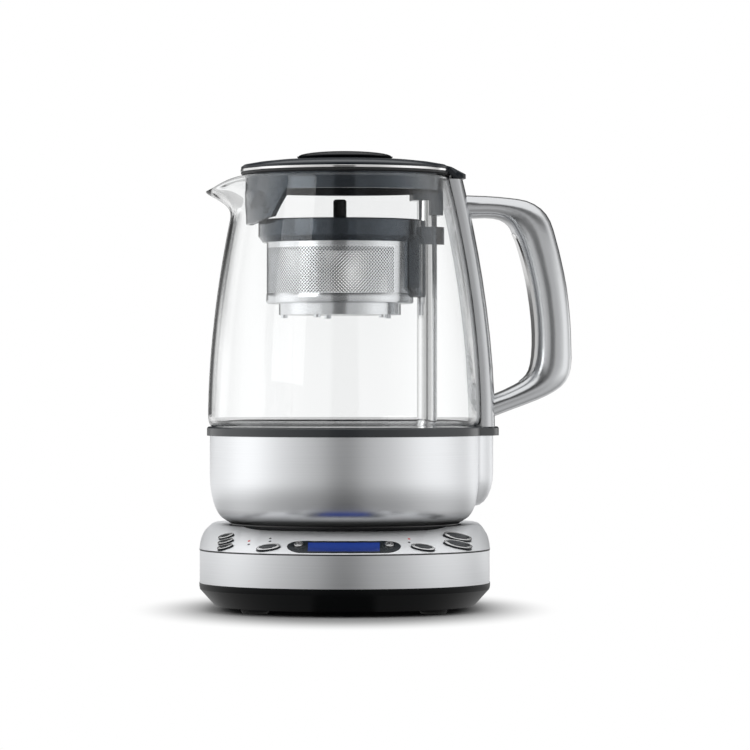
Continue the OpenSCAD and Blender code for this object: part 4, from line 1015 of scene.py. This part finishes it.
# %% Smooth copies of the faceted pieces
FACET_WELD = 0.01 * MM
FLAT_WITHIN = math.radians(0.4)
SMOOTH_ANGLE = {
    "control_deck": 32, "base_pan": 24, "display_bezel": 32, "display_lens": 32,
    "handle_spine": 40, "handle_grip": 44, "grip_inlay": 40, "lid_cover": 32,
    "jug_shell": 40, "basket_frame": 30, "lid_skirt": 30, "spout_strainer": 30,
}
SLOT_OF = {piece["node"]: piece["material_slot"] for piece in frame["record"]["subparts"]}
for node, angle in SMOOTH_ANGLE.items():
    source = nodes[node]
    only(source)
    bpy.ops.object.duplicate()
    piece = bpy.context.object
    piece.name = node + "_smooth"
    del piece["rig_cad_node"]
    bpy.ops.mesh.customdata_custom_splitnormals_clear()
    bpy.ops.object.mode_set(mode="EDIT")
    bpy.ops.mesh.select_all(action="SELECT")
    bpy.ops.mesh.remove_doubles(threshold=FACET_WELD)
    bpy.ops.mesh.dissolve_limited(angle_limit=FLAT_WITHIN)
    bpy.ops.object.mode_set(mode="OBJECT")
    hand_over(piece, None, source["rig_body"], SLOT_OF[node], node, angle=angle)

# %% [markdown]
# ## Buttons
#
# Nine oval buttons follow the round front of the deck: each is moved in from
# the front edge, laid on the slope and turned with the edge. They could be
# placed one by one, but a rule for the deck keeps them all square to it.

# %% A place on the deck
FRONT_R = 86 * MM
FRONT_Y = cad_box[0][1] + FRONT_R
DECK_EDGE_Z = 36.4 * MM
DECK_TILT = math.radians(18.5)
SLOPE = math.tan(DECK_TILT)


def on_deck(x, up, turn):
    """The place on the deck at x and up the slope, with Z square to it."""
    to_edge = math.sqrt(FRONT_R**2 - x**2)
    lean = x / to_edge
    across = Vector((SLOPE * lean, -SLOPE, 1)).normalized()
    way = math.radians(turn)
    climb = SLOPE * (math.sin(way) - lean * math.cos(way))
    along = Vector((math.cos(way), math.sin(way), climb)).normalized()
    side = across.cross(along)
    at = Vector((
        jug_axis.x + x,
        FRONT_Y - to_edge + up * math.cos(DECK_TILT),
        DECK_EDGE_Z + up * math.sin(DECK_TILT),
    ))
    return Matrix((
        (along.x, side.x, across.x, at.x),
        (along.y, side.y, across.y, at.y),
        (along.z, side.z, across.z, at.z),
        (0, 0, 0, 1),
    ))


print("middle of the deck's front edge:", on_deck(0, 0, 0).translation)

# %% [markdown]
# A button has a bright rim with a fine groove in it, and a crown that is dark
# on seven of them and silver on minus and plus. A squashed cylinder becomes
# one: insets on its top face make the rim and the groove and raise the crown.

# %% Buttons with a bright rim and a crown
# name, x and distance up the slope in mm, turn in degrees, length and depth in mm
BUTTONS = [
    ("left_button_upper", -69, 25, -34, 11, 5.6),
    ("left_button_middle", -69, 16.2, -34, 11, 5.6),
    ("left_button_lower", -69, 7.4, -34, 11, 5.6),
    ("left_oval_button", -43.5, 9, -14, 14.4, 8.6),
    ("minus_button", -26, 14.6, 0, 5.4, 7.6),
    ("plus_button", 26, 14.6, 0, 5.4, 7.6),
    ("right_oval_button", 45.5, 9, 14, 14.4, 8.6),
    ("large_button_upper", 66, 24.5, 36, 20, 9.6),
    ("large_button_lower", 66, 11.6, 36, 20, 9.6),
]
SILVER_BUTTONS = ("minus_button", "plus_button")
BUTTON_TOP = 1.0 * MM
BUTTON_FOOT = -5.2 * MM
RIM_FLOOR = BUTTON_TOP - 0.2 * MM
RIM_WIDTH_MM = 1.0
# Each step insets the top face and lifts it, in mm: rim, groove, crown
CROWN_STEPS = ((0.25, 0.18), (0.6, 0.0), (0.12, -0.3), (0.3, 0.3), (0.5, 0.12), (0.7, 0.06))
for node, x, up, turn, length, depth in BUTTONS:
    bpy.ops.mesh.primitive_cylinder_add(
        vertices=48, radius=1, depth=BUTTON_TOP - BUTTON_FOOT, end_fill_type="NGON",
        location=(0, 0, (BUTTON_TOP + BUTTON_FOOT) / 2),
    )
    cap = bpy.context.object
    cap.name = node + "_cap"
    cap.scale = (length / 2 * MM, depth / 2 * MM, 1)
    bpy.ops.object.transform_apply(location=True, rotation=False, scale=True)
    bpy.ops.object.mode_set(mode="EDIT")
    bpy.ops.mesh.select_mode(type="FACE")
    pick("faces", lambda face: face.normal.z > 0.9)
    for inset, lift in CROWN_STEPS:
        bpy.ops.mesh.inset(thickness=inset * MM, use_even_offset=False)
        bpy.ops.transform.translate(value=(0, 0, lift * MM))
    bpy.ops.object.mode_set(mode="OBJECT")
    cap.data.materials.append(button_silver if node in SILVER_BUTTONS else button_dark)
    cap.data.materials.append(button_rim)
    for face in cap.data.polygons:
        out = math.hypot(face.center.x / length, face.center.y / depth) * 2 / MM
        in_crown = out < 1 - 2 * RIM_WIDTH_MM / depth
        face.material_index = 0 if in_crown or face.center.z < RIM_FLOOR else 1
    cap.matrix_world = on_deck(x * MM, up * MM, turn)
    only(cap)
    bpy.ops.object.transform_apply(location=True, rotation=True, scale=True)
    hand_over(cap, None, node, SLOT_OF[node], node, angle=30)
